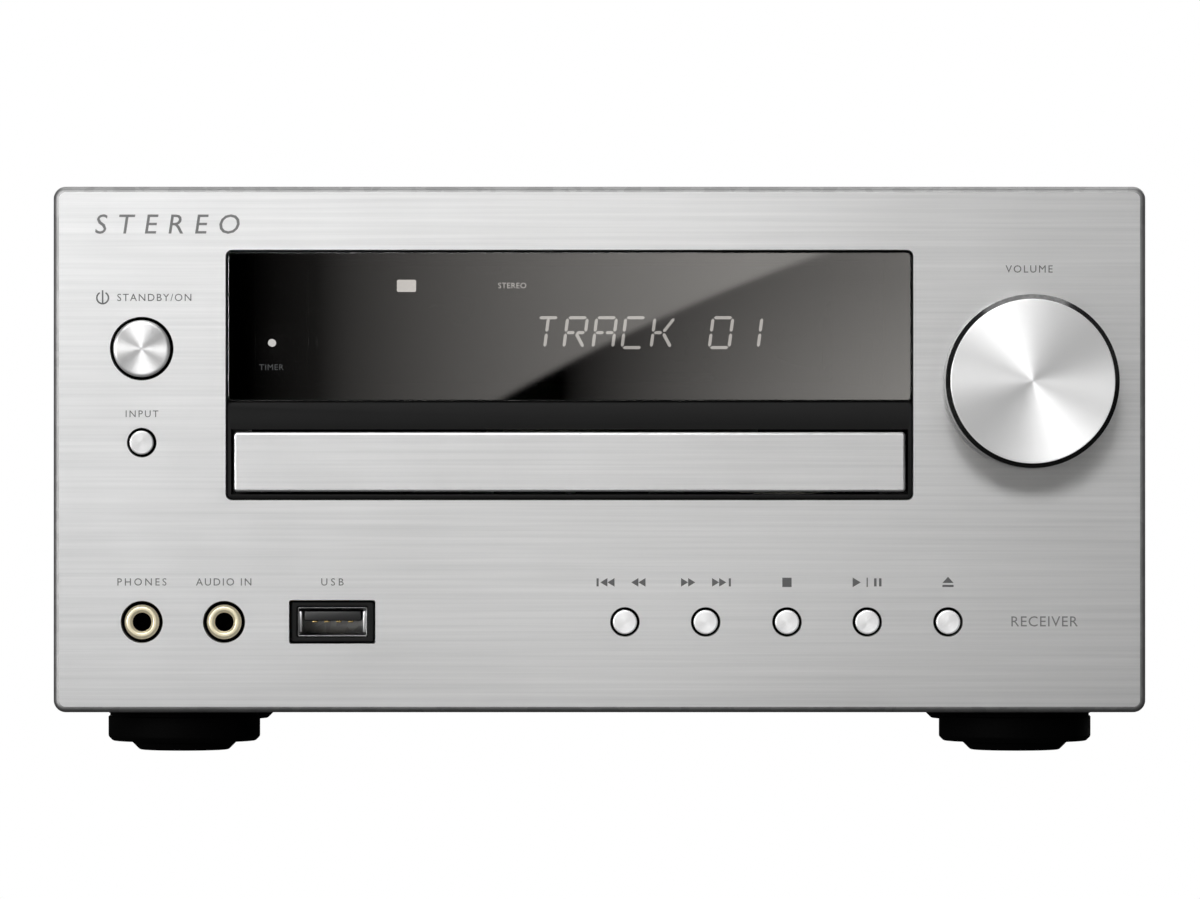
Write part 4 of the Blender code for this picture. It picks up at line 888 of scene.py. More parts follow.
def front_signs():
    """The transport symbols over the small buttons, and the power symbol."""
    ink = "dark_ink"
    tall = 1.3

    def skip(way):
        found = []
        for start in (-3.4, 1.6):
            found += [triangle_sign(start + u, 1.15, way) for u in (0.0, 1.15)]
        end = -4.4 if way < 0 else 3.9
        return found + [bar_sign(end, 0.35, tall)]

    signs = {
        "previous_button": skip(-1),
        "next_button": skip(1),
        "stop_button": [bar_sign(0, 1.5, 1.5)],
        "play_button": [triangle_sign(-1.7, 1.3), bar_sign(0.0, 0.2, 1.5), bar_sign(1.3, 0.4, tall),
                        bar_sign(2.1, 0.4, tall)],
        "eject_button": [[(-0.9, -0.1), (0.9, -0.1), (0, 0.9)],
                         [(-0.9, -0.75), (0.9, -0.75), (0.9, -0.4), (-0.9, -0.4)]],
    }
    for name, outlines in signs.items():
        x, z = xz(name)
        larger = [[(u * SIGN_SCALE, v * SIGN_SCALE) for u, v in outline] for outline in outlines]
        sign(larger, (x, z + OVER_SOCKETS), "sign_" + name.replace("_button", ""), ink)
    ring_out = arc((0, 0), 1.3, 120, 420, 24)
    ring_in = arc((0, 0), 1.0, 420, 120, 24)
    place = (STANDBY[0] - 7.7 * MM, STANDBY[1] + 10.0 * MM)
    sign([ring_out + ring_in, bar_sign(0, 0.3, 2.0)[:2] + [(0.15, 1.5), (-0.15, 1.5)]], place,
         "sign_power", ink)


# Front


def front_panel():
    """The brushed plate with its rolled edge and the softened rims of its holes."""
    edge = 1.1 * MM
    outside = panel(PANEL_LOW.x, PANEL_HIGH.x, PANEL_LOW.z, PANEL_HIGH.z, 2.4 * MM, 10)
    sill, top = FASCIA_LOW.z - 1.6 * MM, PANE_HIGH.z + CLEAR
    window = panel(PANE_LOW.x - CLEAR, PANE_HIGH.x + CLEAR, sill, top, 1.2 * MM, 8)
    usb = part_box("usb_socket")
    usb_half = 4.25 * MM
    holes = [window, disc(KNOB, 5.0 * MM), disc(STANDBY, STANDBY_RADIUS + 0.6 * MM, 96)]
    holes += [disc(xz(name), SMALL_RADIUS + 0.5 * MM) for name in SMALL_BUTTONS]
    holes += [disc((middle(name).x, SOCKET_LINE), 4.1 * MM) for name in JACKS]
    low, high = SOCKET_LINE - usb_half, SOCKET_LINE + usb_half
    holes.append(panel(usb[0].x - CLEAR, usb[1].x + CLEAR, low, high, 0.4 * MM, 4))
    walls = [wall(outside, PANEL_BACK, PANEL_FRONT, (0.2 * MM, edge), steps=5)]
    for shape in holes:
        walls.append(wall(shape, PANEL_BACK, PANEL_FRONT, (0, 0.08 * MM), -1, 3))
    sheet = slab(walls)
    # The rolled edge and the walls of the holes take a darker, rougher metal than the face: painted
    # shade for the even grey line round the panel.
    by_face(sheet, 2, lambda face: abs(face.normal.y) < 0.999)
    piece(sheet, "front_panel_plate", "brushed_aluminium", ["brushed_aluminium", "shaded_panel_edge"],
          "front_panel")


def front_plate(low, high, radius, steps, edges):
    """A flat plate between two corners that faces the front."""
    shape = panel(low.x, high.x, low.z, high.z, radius, steps)
    return slab([wall(shape, high.y, low.y, edges)])


def window_and_fascia():
    pane = front_plate(PANE_LOW, PANE_HIGH, 1.0 * MM, 8, (0.15 * MM, 0.25 * MM))
    piece(pane, "display_pane", "smoked_acrylic", "smoked_acrylic", "display_window")
    front = front_plate(FASCIA_LOW, FASCIA_HIGH, 0.7 * MM, 4, (0.1 * MM, 0.45 * MM))
    piece(front, "tray_front", "brushed_aluminium", "brushed_aluminium", "tray_fascia", body="tray")


def volume_knob():
    """The spun face, the chamfered edge round it, the grip, and the hub inside. The edge and the
    grip are a dark metal: painted shade for the dark ring round the face.
    """
    face, skirt = KNOB_LOW.y, KNOB_HIGH.y
    outer = (KNOB_HIGH.x - KNOB_LOW.x) / 2
    rim = outer - 0.95 * MM
    bore = 3.15 * MM
    profile = [
        (0, face + 0.12 * MM), (rim - 1.2 * MM, face), (rim, face), (outer, face + 1.1 * MM),
        (outer, skirt), (outer - 1.6 * MM, skirt), (outer - 1.6 * MM, face + 3 * MM),
        (5.2 * MM, face + 3 * MM), (5.2 * MM, skirt - 1.3 * MM), (bore, skirt - 1.3 * MM),
        (bore, face + 2.7 * MM), (0, face + 2.7 * MM),
    ]
    solid = turned(profile, KNOB, sides=192, soft=0.12 * MM)
    # Faces beyond the rim take the dark edge metal: painted shade for the dark ring round the face.
    by_face(solid, 2, lambda face: math.dist((face.center.x, face.center.z), KNOB) > rim)
    piece(solid, "volume_knob_body", "spun_aluminium", ["spun_knob", "shaded_knob_edge"], "volume_knob",
          body="volume_knob")


def button(name, radius, flange, stem, finish, sides):
    low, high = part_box(name)
    face, behind = low.y, PANEL_BACK + CLEAR
    profile = [
        (0, face), (radius, face), (radius, behind), (flange, behind), (flange, behind + 1 * MM),
        (stem, behind + 1 * MM), (stem, high.y), (0, high.y),
    ]
    solid = turned(profile, xz(name), sides=sides, soft=radius * 0.1)
    by_face(solid, 2, lambda part: part.center.y > face + 0.12 * radius)
    piece(solid, name + "_cap", "spun_aluminium", [finish, "matte_black"], name, body=name)


def buttons():
    button("standby_button", STANDBY_RADIUS, 7 * MM, 2.2 * MM, "spun_standby", 128)
    for name in SMALL_BUTTONS:
        button(name, SMALL_RADIUS, 3.8 * MM, 1.2 * MM, "spun_" + name, 64)


def headphone_jack(name):
    """A bored black body with a sleeve behind the panel, and the gold collar in the panel."""
    low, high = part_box(name)
    x = middle(name).x
    place = (x, SOCKET_LINE)
    nose = low.y
    bore = 1.8 * MM
    body = block(low.x, high.x, -122.4 * MM, high.y, low.z, high.z, 0.3 * MM)
    sleeve = tube(2.4 * MM, 3.2 * MM, nose + 1.2 * MM, -122.6 * MM)
    hole = prism(circle(place, bore, 32), -131 * MM, -112 * MM)
    body = merged(cut(body, [hole]), turned(sleeve, place, sides=48))
    piece(body, name + "_body", "black_plastic", "matte_black", name)
    collar = [
        (bore + 0.05 * MM, nose + 1.0 * MM), (bore + 0.05 * MM, nose + 0.35 * MM),
        (bore + 0.5 * MM, nose), (2.9 * MM, nose), (3.4 * MM, nose + 0.3 * MM),
        (3.4 * MM, nose + 1.1 * MM), (bore + 0.05 * MM, nose + 1.1 * MM),
    ]
    ring_piece = turned(collar, place, sides=96, soft=0.12 * MM)
    piece(ring_piece, name + "_collar", "gold_plate", "jack_gold")


def usb_socket():
    """A black surround, the folded steel shell, its tongue with contacts, and its side springs."""
    low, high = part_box("usb_socket")
    x, z = place = middle("usb_socket").x, SOCKET_LINE
    front, back = low.y, -108 * MM
    outer = centred(place, (high.x - low.x) / 2, 3.95 * MM, 0.5 * MM)
    mouth = centred(place, 6.9 * MM, 2.95 * MM, 0.4 * MM)
    collar = slab([
        wall(outer, -121 * MM, front, (0.1 * MM, 0.25 * MM)),
        wall(mouth, -121 * MM, front, (0, 0.3 * MM), -1),
    ])
    piece(collar, "usb_surround", "black_plastic", "matte_black", "usb_socket")
    lip = 0.25 * MM / 3
    shell_out = centred(place, 6.85 * MM, 2.9 * MM, 0.35 * MM)
    shell_in = centred(place, 6.6 * MM, 2.65 * MM, 0.2 * MM)
    shell = slab([
        wall(shell_out, back, front + 0.5 * MM, (0, lip)),
        wall(shell_in, back, front + 0.5 * MM, (0, lip), -1),
    ])
    end = block(
        x - 6.7 * MM, x + 6.7 * MM, -112 * MM, back - 0.2 * MM, z - 2.75 * MM, z + 2.75 * MM
    )
    piece(merged(shell, end), "usb_shell", "zinc_steel", "plated_steel")
    tongue = block(
        x - 5.6 * MM, x + 5.6 * MM, front + 1.4 * MM, -111 * MM, z + 0.2 * MM, z + 2.1 * MM
    )
    piece(tongue, "usb_tongue", "black_plastic", "black_plastic")
    pin = block(-0.5 * MM, 0.5 * MM, 0, 8 * MM, -0.35 * MM, 0, 0.08 * MM)
    start = (x - 3.5 * MM, front + 1.8 * MM, z + 0.2 * MM)
    pins = rows(pin, "gold_plate", start, 4, (2.33 * MM, 0, 0))
    piece(pins, "usb_contacts", "gold_plate", "gold_plate")
    spring = block(-0.35 * MM, 0.35 * MM, 0, 5 * MM, -2.1 * MM, 2.1 * MM, 0.15 * MM)
    start = (x - 6.3 * MM, front + 0.9 * MM, z)
    springs = rows(spring, "plated_steel", start, 2, (12.6 * MM, 0, 0))
    piece(springs, "usb_side_springs", "zinc_steel", "zinc_steel")


# Segments of a fourteen-segment character, as ends in a cell one wide and two tall
SEGMENTS = {
    "a": ((0, 2), (1, 2)), "b": ((1, 2), (1, 1)), "c": ((1, 1), (1, 0)), "d": ((0, 0), (1, 0)),
    "e": ((0, 0), (0, 1)), "f": ((0, 1), (0, 2)), "g": ((0, 1), (0.5, 1)), "h": ((0.5, 1), (1, 1)),
    "i": ((0.5, 2), (0.5, 1)), "j": ((0.5, 1), (0.5, 0)), "k": ((1, 2), (0.5, 1)),
    "m": ((0.5, 1), (1, 0)),
}
CHARACTERS = {
    "T": "aij", "R": "abfeghm", "A": "abcefgh", "C": "adef", "K": "efgkm", "0": "abcdef", "1": "bc",
}


def segment(start, end, half, gap):
    """A bar with pointed ends, a little short of both its ends."""
    start, end = Vector(start), Vector(end)
    along = (end - start).normalized()
    side = Vector((-along.y, along.x)) * half
    first, last = start + along * gap, end - along * gap
    point = along * half
    return [first, first + point - side, last - point - side, last, last - point + side,
            first + point + side]


def display_text(text, left, low, wide, tall, pitch, name):
    """Lit characters on the tube's face."""
    lean = 0.13
    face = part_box("display_tube")[0].y
    solids = []
    for place, character in enumerate(text):
        for key in CHARACTERS.get(character, ""):
            start, end = SEGMENTS[key]
            corners = []
            for u, v in segment(
                (start[0] * wide, start[1] * tall / 2), (end[0] * wide, end[1] * tall / 2),
                0.31 * MM, 0.14 * MM,
            ):
                corners.append((left + place * pitch + u + v * lean, low + v))
            solids.append(prism(corners, face - 0.02 * MM, face - 0.1 * MM))
    piece(merged(*solids), name, "display_glass", "display_light")


def display():
    """The tube, its lit characters and signs, the timer lamp, and the words behind the pane."""
    piece(refined("display_tube", 0.4 * MM, 3), "display_tube_glass", "display_glass",
          "display_glass", "display_tube")
    low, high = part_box("display_tube")
    face = low.y
    display_text("TRACK 01", high.x - 58.9 * MM, low.z + 6.8 * MM, 3.9 * MM, 5.9 * MM, 5.75 * MM,
                 "lit_characters")
    badge = (PANE_LOW.x + 35.1 * MM, PANE_HIGH.z - 6.6 * MM)
    outline = rounded(badge[0] - 1.9 * MM, badge[0] + 1.9 * MM, badge[1] - 1.2 * MM,
                      badge[1] + 1.2 * MM, 0.3 * MM, 3)
    sliver = prism(outline, face - 0.02 * MM, face - 0.1 * MM)
    piece(sliver, "lit_badge", "display_glass", "badge_light")
    printed("STEREO", (badge[0] + 20.9 * MM, face - 0.05 * MM, badge[1]), 1.15 * MM,
            "display_light", "lit_word", spacing=1.05)
    lamp_x, lamp_z = PANE_LOW.x + 8.6 * MM, PANE_LOW.z + 11.5 * MM
    dome = [(0, -126.4 * MM), (0.5 * MM, -126.2 * MM), (0.75 * MM, -125.7 * MM),
            (0.75 * MM, -122.8 * MM), (0, -122.8 * MM)]
    lamp = turned(dome, (lamp_x, lamp_z), sides=32)
    piece(lamp, "timer_lamp", "display_glass", "lamp_light")
    printed("TIMER", (lamp_x, PANE_HIGH.y + 0.1 * MM, lamp_z - 4.9 * MM), 1.2 * MM,
            "dim_light", "word_timer", spacing=1.1)


def feet():
    """Moulded feet with a softer pad beneath and a shallow groove round each."""
    for corner in CORNERS:
        node_name = "foot_" + corner
        low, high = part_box(node_name)
        centre = ((low.x + high.x) / 2, (low.y + high.y) / 2)
        radius = (high.x - low.x) / 2
        shell_low = 1.8 * MM
        profile = [
            (0, shell_low + 0.3 * MM), (11.2 * MM, shell_low + 0.3 * MM), (11.4 * MM, shell_low),
            (radius - 0.9 * MM, shell_low), (radius, shell_low + 0.9 * MM),
            (radius, high.z - 2.0 * MM), (radius - 0.35 * MM, high.z - 1.8 * MM),
            (radius - 0.35 * MM, high.z - 1.4 * MM), (radius, high.z - 1.2 * MM),
            (radius, high.z), (0, high.z),
        ]
        shell = turned(profile, centre, "Z", 96, soft=0.3 * MM)
        piece(shell, "foot_shell_" + corner, "foot_rubber", "foot_rubber", node_name)
        pad = [(0, 0), (8.9 * MM, 0), (10.6 * MM, 1.7 * MM), (10.6 * MM, 2.05 * MM), (0, 2.05 * MM)]
        base = turned(pad, centre, "Z", 96, soft=0.4 * MM)
        piece(base, "foot_pad_" + corner, "foot_rubber", "foot_rubber")


# Cabinet


def top_cover():
    """The folded sheet with its vents, whose rims are softened."""
    outside = (COVER_HIGH.x - COVER_LOW.x) / 2
    sheet, bend = 1.0 * MM, 2.0 * MM
    low, top = COVER_LOW.z, COVER_HIGH.z
    outer = arc((outside - bend, top - bend), bend, 0, 90, 10)
    inner = arc((outside - bend, top - bend), bend - sheet, 90, 0, 10)
    right = [(outside, low), *outer]
    left = [(-x, z) for x, z in reversed(right)]
    inner_right = [*inner, (outside - sheet, low)]
    inner_left = [(-x, z) for x, z in reversed(inner_right)]
    cover = prism(right + left + inner_left + inner_right, COVER_LOW.y, COVER_HIGH.y)
    slot_half, tall = 1.5 * MM, 10 * MM
    long_slot = prism(pill((0, 0), slot_half, 22 * MM)(0), -tall, tall, "Z")
    top_cut = rows(long_slot, None, (-44 * MM, 84 * MM, top), 12, (8 * MM, 0, 0))
    side_slot = prism(pill((0, 0), slot_half, 11 * MM)(0), -outside * 1.2, outside * 1.2, "X")
    side_cut = rows(side_slot, None, (0, 40 * MM, 89 * MM), 8, (0, 9 * MM, 0))
    holes = [
        prism(circle((y, 16 * MM), 1.8 * MM, 32), -0.12, 0.12, "X") for y in (-60 * MM, 80 * MM)
    ]
    cut(cover, [top_cut, side_cut, *holes])
    bevelled(cover, 0.2 * MM)
    piece(cover, "cover_sheet", "cover_paint", "cover_paint", "top_cover")


def screw_shape(axis, head=3.2 * MM, depth=1.5 * MM, shank=0.0, sides=48):
    """A pan-head screw at the origin that looks along axis, with a cross recess in its head."""
    profile = [(0, -shank), (1.4 * MM, -shank)] if shank else [(0, 0)]
    profile += [(1.4 * MM, 0)] if shank else []
    profile += [(head, 0), (head, depth * 0.55), (head * 0.75, depth * 0.9), (0, depth)]
    solid = turned(profile, (0, 0), "Z", sides, soft=0.25 * MM)
    reach, half = head * 0.6, 0.35 * MM
    cuts = [block(-reach, reach, -half, half, depth * 0.35, depth * 2, 0.05 * MM),
            block(-half, half, -reach, reach, depth * 0.35, depth * 2, 0.05 * MM)]
    cut(solid, cuts)
    turn = Vector((0, 0, 1)).rotation_difference(Vector(axis)).to_matrix().to_4x4()
    solid.data.transform(turn)
    return solid


def cover_screws():
    for corner in CORNERS:
        node_name = "cover_screw_" + corner
        low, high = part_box(node_name)
        side = 1 if low.x > 0 else -1
        seat = (high.x if side > 0 else low.x) - side * 1.5 * MM
        shape = screw_shape((side, 0, 0), shank=3.6 * MM)
        shape.data.transform(Matrix.Translation((seat, (low.y + high.y) / 2, (low.z + high.z) / 2)))
        piece(shape, "pan_head_" + corner, "screw_steel", "screw_steel", node_name)


def rear_plate():
    """The painted back with its vents, its fan grille and the folded lip at the top."""
    back, front = REAR_HIGH.y, REAR_HIGH.y - 1.0 * MM
    fan = middle("fan_housing")
    shape = panel(REAR_LOW.x, REAR_HIGH.x, REAR_LOW.z, REAR_HIGH.z, 0.6 * MM, 3)
    holes = [
        centred(xz("speaker_terminals"), 26.4 * MM, 8.4 * MM, 0.3 * MM, 3),
        centred(xz("mains_inlet"), 11.4 * MM, 7.4 * MM, 0.3 * MM, 3),
        disc(xz("antenna_jack"), 5.4 * MM),
    ]
    holes += [disc(place, 4.8 * MM) for place in line_sockets()]
    for line in range(-3, 4):
        rise = line * 6 * MM
        reach = math.sqrt((22 * MM) ** 2 - rise**2) - 1.5 * MM
        holes.append(pill((fan.x, fan.z + rise), reach, 1.9 * MM))
    for column in range(7):
        holes.append(pill(((-80 + column * 7) * MM, 79.5 * MM), 1.5 * MM, 12.5 * MM))
    walls = [wall(shape, front, back, (0.1 * MM, 0.2 * MM), steps=2)]
    walls += [wall(hole, front, back, (0, 0.15 * MM), -1, 2) for hole in holes]
    sheet = slab(walls)
    lip = block(-100 * MM, 100 * MM, REAR_LOW.y, front + 0.5 * MM, REAR_HIGH.z - 1.2 * MM,
                REAR_HIGH.z - 0.2 * MM)
    piece(merged(sheet, lip), "rear_plate", "rear_paint", "rear_paint", "rear_panel")
    small = screw_shape((0, 1, 0), 2.4 * MM, 1.1 * MM, sides=32)
    edges = rows(small, "screw_steel", (-98 * MM, back, 15 * MM), 3, (98 * MM, 0, 0), 2,
                 (0, 0, 88 * MM))
    piece(edges, "rear_edge_screws", "screw_steel", "screw_steel")
    small = screw_shape((0, 1, 0), 2.2 * MM, 1.1 * MM, sides=32)
    fan_half = 20.5 * MM
    start = (fan.x - fan_half, back, fan.z - fan_half)
    four = rows(small, "screw_steel", start, 2, (2 * fan_half, 0, 0), 2, (0, 0, 2 * fan_half))
    piece(four, "fan_screws", "screw_steel", "screw_steel")


def line_sockets():
    """The x and z of each line socket."""
    x, z = xz("rca_jacks")
    half = 6 * MM
    return [(x + column * half, z + line * half) for column in (-1, 1) for line in (-1, 1)]


# Rear sockets


def terminals():
    """The x and z of each speaker terminal."""
    x, z = xz("speaker_terminals")
    return [(x + shift * MM, z) for shift in (-18, -6, 6, 18)]


def speaker_terminals():
    """For each terminal a fluted collar in red or black, and the metal inside."""
    start, end = 132.4 * MM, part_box("speaker_terminals")[1].y
    for number, place in enumerate(terminals()):
        colour, finish = (("black", "matte_black"), ("red", "red_plastic"))[number % 2]
        profile = [(4.85 * MM, start), (5.3 * MM, start), (5.3 * MM, end - 0.6 * MM),
                   (5.0 * MM, end - 0.05 * MM), (4.85 * MM, end - 0.05 * MM)]
        sleeve = turned(profile, place)
        rib = block(
            5.2 * MM, 5.6 * MM, start + 0.4 * MM, end - 0.8 * MM, -0.2 * MM, 0.2 * MM, 0.08 * MM
        )
        ribs = ring(rib, finish, 24, (place[0], 0, place[1]), (0, 1, 0))
        piece(merged(sleeve, ribs), f"terminal_sleeve_{colour}_{number}", "black_plastic", finish)
        clamp = turned(tube(1.2 * MM, 2.0 * MM, 126 * MM, 136 * MM), place, sides=32)
        piece(clamp, f"terminal_clamp_{number}", "gold_plate", "polished_steel")


def rca_sockets():
    """The moulded body and four plated barrels, each with its coloured core."""
    low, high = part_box("rca_jacks")
    body = block(low.x, high.x, low.y, 128.6 * MM, low.z, high.z, 0.4 * MM)
    piece(body, "line_socket_body", "gold_plate", "matte_black", "rca_jacks")
    end = high.y
    for number, place in enumerate(line_sockets()):
        barrel = [(3.3 * MM, 128 * MM), (4.2 * MM, 128 * MM), (4.2 * MM, end - 0.3 * MM),
                  (3.9 * MM, end), (3.3 * MM, end)]
        shell = turned(barrel, place)
        piece(shell, f"line_socket_{number}", "gold_plate", "gold_plate")
        filling = tube(1.7 * MM, 3.25 * MM, 129 * MM, end - 1.4 * MM)
        core = turned(filling, place, sides=48, soft=0.15 * MM)
        colour = "red_plastic" if number > 1 else "white_plastic"
        piece(core, f"line_socket_core_{number}", "white_plastic", colour)


def antenna_socket():
    """The threaded barrel on its flange, and the insulator inside."""
    low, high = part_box("antenna_jack")
    place = xz("antenna_jack")
    body = block(low.x, high.x, low.y, 128.6 * MM, low.z, high.z, 0.4 * MM)
    profile = [(3.2 * MM, 130 * MM), (3.2 * MM, 128 * MM), (4.6 * MM, 128 * MM)]
    pitch, turns = 0.8 * MM, 14
    for turn in range(turns):
        level = 131.6 * MM + turn * pitch
        profile += [(4.35 * MM, level), (4.8 * MM, level + pitch * 0.5)]
    profile += [(4.35 * MM, high.y - 0.5 * MM), (4.1 * MM, high.y), (3.2 * MM, high.y)]
    barrel = turned(profile, place, sharp=25, soft=0)
    piece(merged(body, barrel), "antenna_barrel", "zinc_steel", "plated_steel", "antenna_jack")
    core = tube(0.6 * MM, 3.15 * MM, 130.5 * MM, 141 * MM)
    piece(turned(core, place, sides=48), "antenna_insulator", "white_plastic", "white_plastic")


def mains_pins():
    x, z = xz("mains_inlet")
    tip = [(0, 129.3 * MM), (0.9 * MM, 129.2 * MM), (1.3 * MM, 128.6 * MM), (1.3 * MM, 118.5 * MM),
           (0, 118.5 * MM)]
    for number, shift in enumerate((-4.3 * MM, 4.3 * MM)):
        pin = turned(tip, (x + shift, z), sides=32)
        piece(pin, f"mains_pin_{number}", "gold_plate", "brass")


def rear_words():
    y = REAR_HIGH.y + 0.015 * MM
    speaker, mains = middle("speaker_terminals"), middle("mains_inlet")
    line, aerial = middle("rca_jacks"), middle("antenna_jack")
    words = (
        ("SPEAKERS", speaker.x, speaker.z + 14.5 * MM, 2.2),
        ("AC IN", mains.x, mains.z + 13.5 * MM, 2.2),
        ("LINE IN", line.x - 6 * MM, line.z + 14 * MM, 1.7),
        ("OUT", line.x + 6 * MM, line.z + 14 * MM, 1.7),
        ("FM", aerial.x, aerial.z + 9.5 * MM, 2.0),
        ("L", line.x + 15 * MM, line.z + 6 * MM, 1.8),
        ("R", line.x + 15 * MM, line.z - 6 * MM, 1.8),
    )
    for number, (text, x, z, height) in enumerate(words):
        name = f"rear_word_{number}_" + text.lower().replace(" ", "_")
        printed(text, (x, y, z), height * MM, "pale_ink", name, facing=1, spacing=1.1)
    for number, (x, z) in enumerate(terminals()):
        place = (x, y, z - 14.2 * MM)
        sign_name = f"rear_polarity_{number}"
        printed("-+"[number % 2], place, 2.6 * MM, "pale_ink", sign_name, facing=1)


# Inside


def main_board():
    """The board with sleeved, bare-topped capacitors, black chips with legs, and resistors."""
    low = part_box("main_board")[0].z
    top = low + 1.6 * MM

    def choose(face):
        if face.center.z < top + 0.05 * MM:
            return 0
        return 2 if face.normal.z > 0.9 and face.center.z > top + 5 * MM else 1

    solid = refined("main_board", 0.25 * MM)
    by_face(solid, 3, choose)
    piece(solid, "main_board_finished", "circuit_board",
          ["circuit_board", "black_plastic", "polished_steel"], "main_board")
    chips = ((-60, -60, 9.0, 9.0), (-20, -40, 12.0, 6.0), (20, 10, 7.0, 7.0))
    for number, (x, y, half_x, half_y) in enumerate(chips):
        leg = block(-0.25 * MM, 0.25 * MM, -0.8 * MM, 0.8 * MM, 0.02 * MM, 0.8 * MM, 0.08 * MM)
        start = ((x - half_x + 1) * MM, (y - half_y - 0.9) * MM, top)
        columns = int((2 * half_x - 2) / 1.27) + 1
        legs = rows(leg, "plated_steel", start, columns, (1.27 * MM, 0, 0), 2,
                    (0, (2 * half_y + 1.8) * MM, 0))
        piece(legs, f"chip_legs_{number}", "zinc_steel", "plated_steel")
    body = block(-1.6 * MM, 1.6 * MM, -0.7 * MM, 0.7 * MM, 0.02 * MM, 1.3 * MM, 0.3 * MM)
    resistors = rows(body, "resistor_blue", (36 * MM, 4 * MM, top), 3, (5 * MM, 0, 0), 5,
                     (0, 3.2 * MM, 0))
    piece(resistors, "board_resistors", "black_plastic", "resistor_blue")


def transformer():
    """The stacked core, the wound wire that bulges front and rear, and the steel strap."""
    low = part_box("power_transformer")[0].z

    def choose(face):
        x, y, z = face.center
        if not 61.8 * MM < y < 94.2 * MM:
            return 1
        return 2 if not -92.3 * MM < x < -43.7 * MM and z < low + 2 * MM else 0

    solid = refined("power_transformer", 0.4 * MM)
    by_face(solid, 3, choose)
    piece(solid, "power_transformer_finished", "transformer_iron",
          ["transformer_iron", "copper_wire", "zinc_steel"], "power_transformer")


# Node, piece, slot, finish, edge in millimetres, and body where it isn't the chassis
ROUNDED = (
    ("window_bezel", "window_frame", "black_plastic", "matte_black", 0.2),
    ("front_subframe", "subframe_moulding", "black_plastic", "black_plastic", 0.3),
    ("bottom_chassis", "chassis_pan", "zinc_steel", "zinc_steel", 0.2),
    ("speaker_terminals", "terminal_block", "black_plastic", "black_plastic", 0.25),
    ("mains_inlet", "mains_inlet_moulding", "black_plastic", "black_plastic", 0.25),
    ("disc_tray", "", "black_plastic", "black_plastic", 0.3, "tray"),
    ("loader_frame", "", "black_plastic", "black_plastic", 0.25),
    ("cam_slider", "", "white_plastic", "white_plastic", 0.2, "cam_slider"),
    ("clamp_bridge", "", "zinc_steel", "zinc_steel", 0.2),
    ("traverse_deck", "", "zinc_steel", "zinc_steel", 0.2, "traverse"),
    ("laser_pickup", "", "black_plastic", "black_plastic", 0.2, "pickup"),
    ("loading_gear", "", "white_plastic", "white_plastic", 0.12, "loading_gear"),
    ("feed_gear", "", "white_plastic", "white_plastic", 0.1, "feed_gear"),
    ("feed_pinion", "", "white_plastic", "white_plastic", 0.08, "feed_pinion"),
    ("fan_housing", "", "black_plastic", "black_plastic", 0.3),
    ("fan_rotor", "", "black_plastic", "black_plastic", 0.2, "fan_rotor"),
    ("tuner_module", "", "zinc_steel", "zinc_steel", 0.3),
    ("heat_sink", "", "heat_sink_aluminium", "heat_sink_aluminium", 0.2),
    ("volume_encoder", "", "zinc_steel", "zinc_steel", 0.2),
)


def rounded_pieces():
    """The pieces whose shape is right: their edges are rounded and they get their finish."""
    for name, given, slot, finish, edge, *body in ROUNDED:
        solid = refined(name, edge * MM)
        piece(solid, given or name + "_finished", slot, finish, name, body=(*body, "chassis")[0])


KEPT_FINISH = {
    "encoder_shaft": "polished_steel", "control_board": "black_board",
    "loading_motor": "zinc_steel", "motor_pulley": "white_plastic", "drive_belt": "belt_rubber",
    "turntable": "black_plastic", "spindle_motor": "zinc_steel", "guide_rod_left": "polished_steel",
    "guide_rod_right": "polished_steel", "feed_motor": "zinc_steel",
    "disc_clamp": "white_plastic", "front_ribbon_cable": "cable_grey",
}


def kept_nodes():
    """The nodes that stay as they are get their finish."""
    for name, finish in KEPT_FINISH.items():
        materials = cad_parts[name].data.materials
        materials.clear()
        materials.append(FINISH[finish])


# Studio


def camera():
    """A long lens straight in front of the panel."""
    lens = bpy.data.cameras.new("camera")
    lens.type = "PERSP"
    lens.lens = 250
    lens.sensor_width = 36
    frame_width = 236.2 * MM
    away = frame_width * lens.lens / lens.sensor_width
    holder = linked("camera", lens)
    holder.location = (0.1 * MM, PANEL_FRONT - away, 60.15 * MM)
    holder.rotation_euler = (math.pi / 2, 0, 0)
    bpy.context.scene.camera = holder
    return away


def lamp(name, place, target, size, power):
    """A soft rectangular light, which the camera doesn't see."""
    light = bpy.data.lights.new(name, "AREA")
    light.shape = "RECTANGLE"
    light.size, light.size_y = size
    light.energy = power
    holder = linked(name, light)
    holder.location = place
    way = Vector(target) - Vector(place)
    holder.rotation_euler = way.to_track_quat("-Z", "Y").to_euler()
    holder.visible_camera = False


def emitter(name, colour, strength):
    made = bpy.data.materials.new(name)
    made.use_nodes = True
    tree = made.node_tree
    tree.nodes.clear()
    end = tree.nodes.new("ShaderNodeOutputMaterial")
    glow = node(tree, "ShaderNodeEmission", [("Color", colour), ("Strength", strength)])
    tree.links.new(glow.outputs[0], end.inputs["Surface"])
    return made, tree, glow


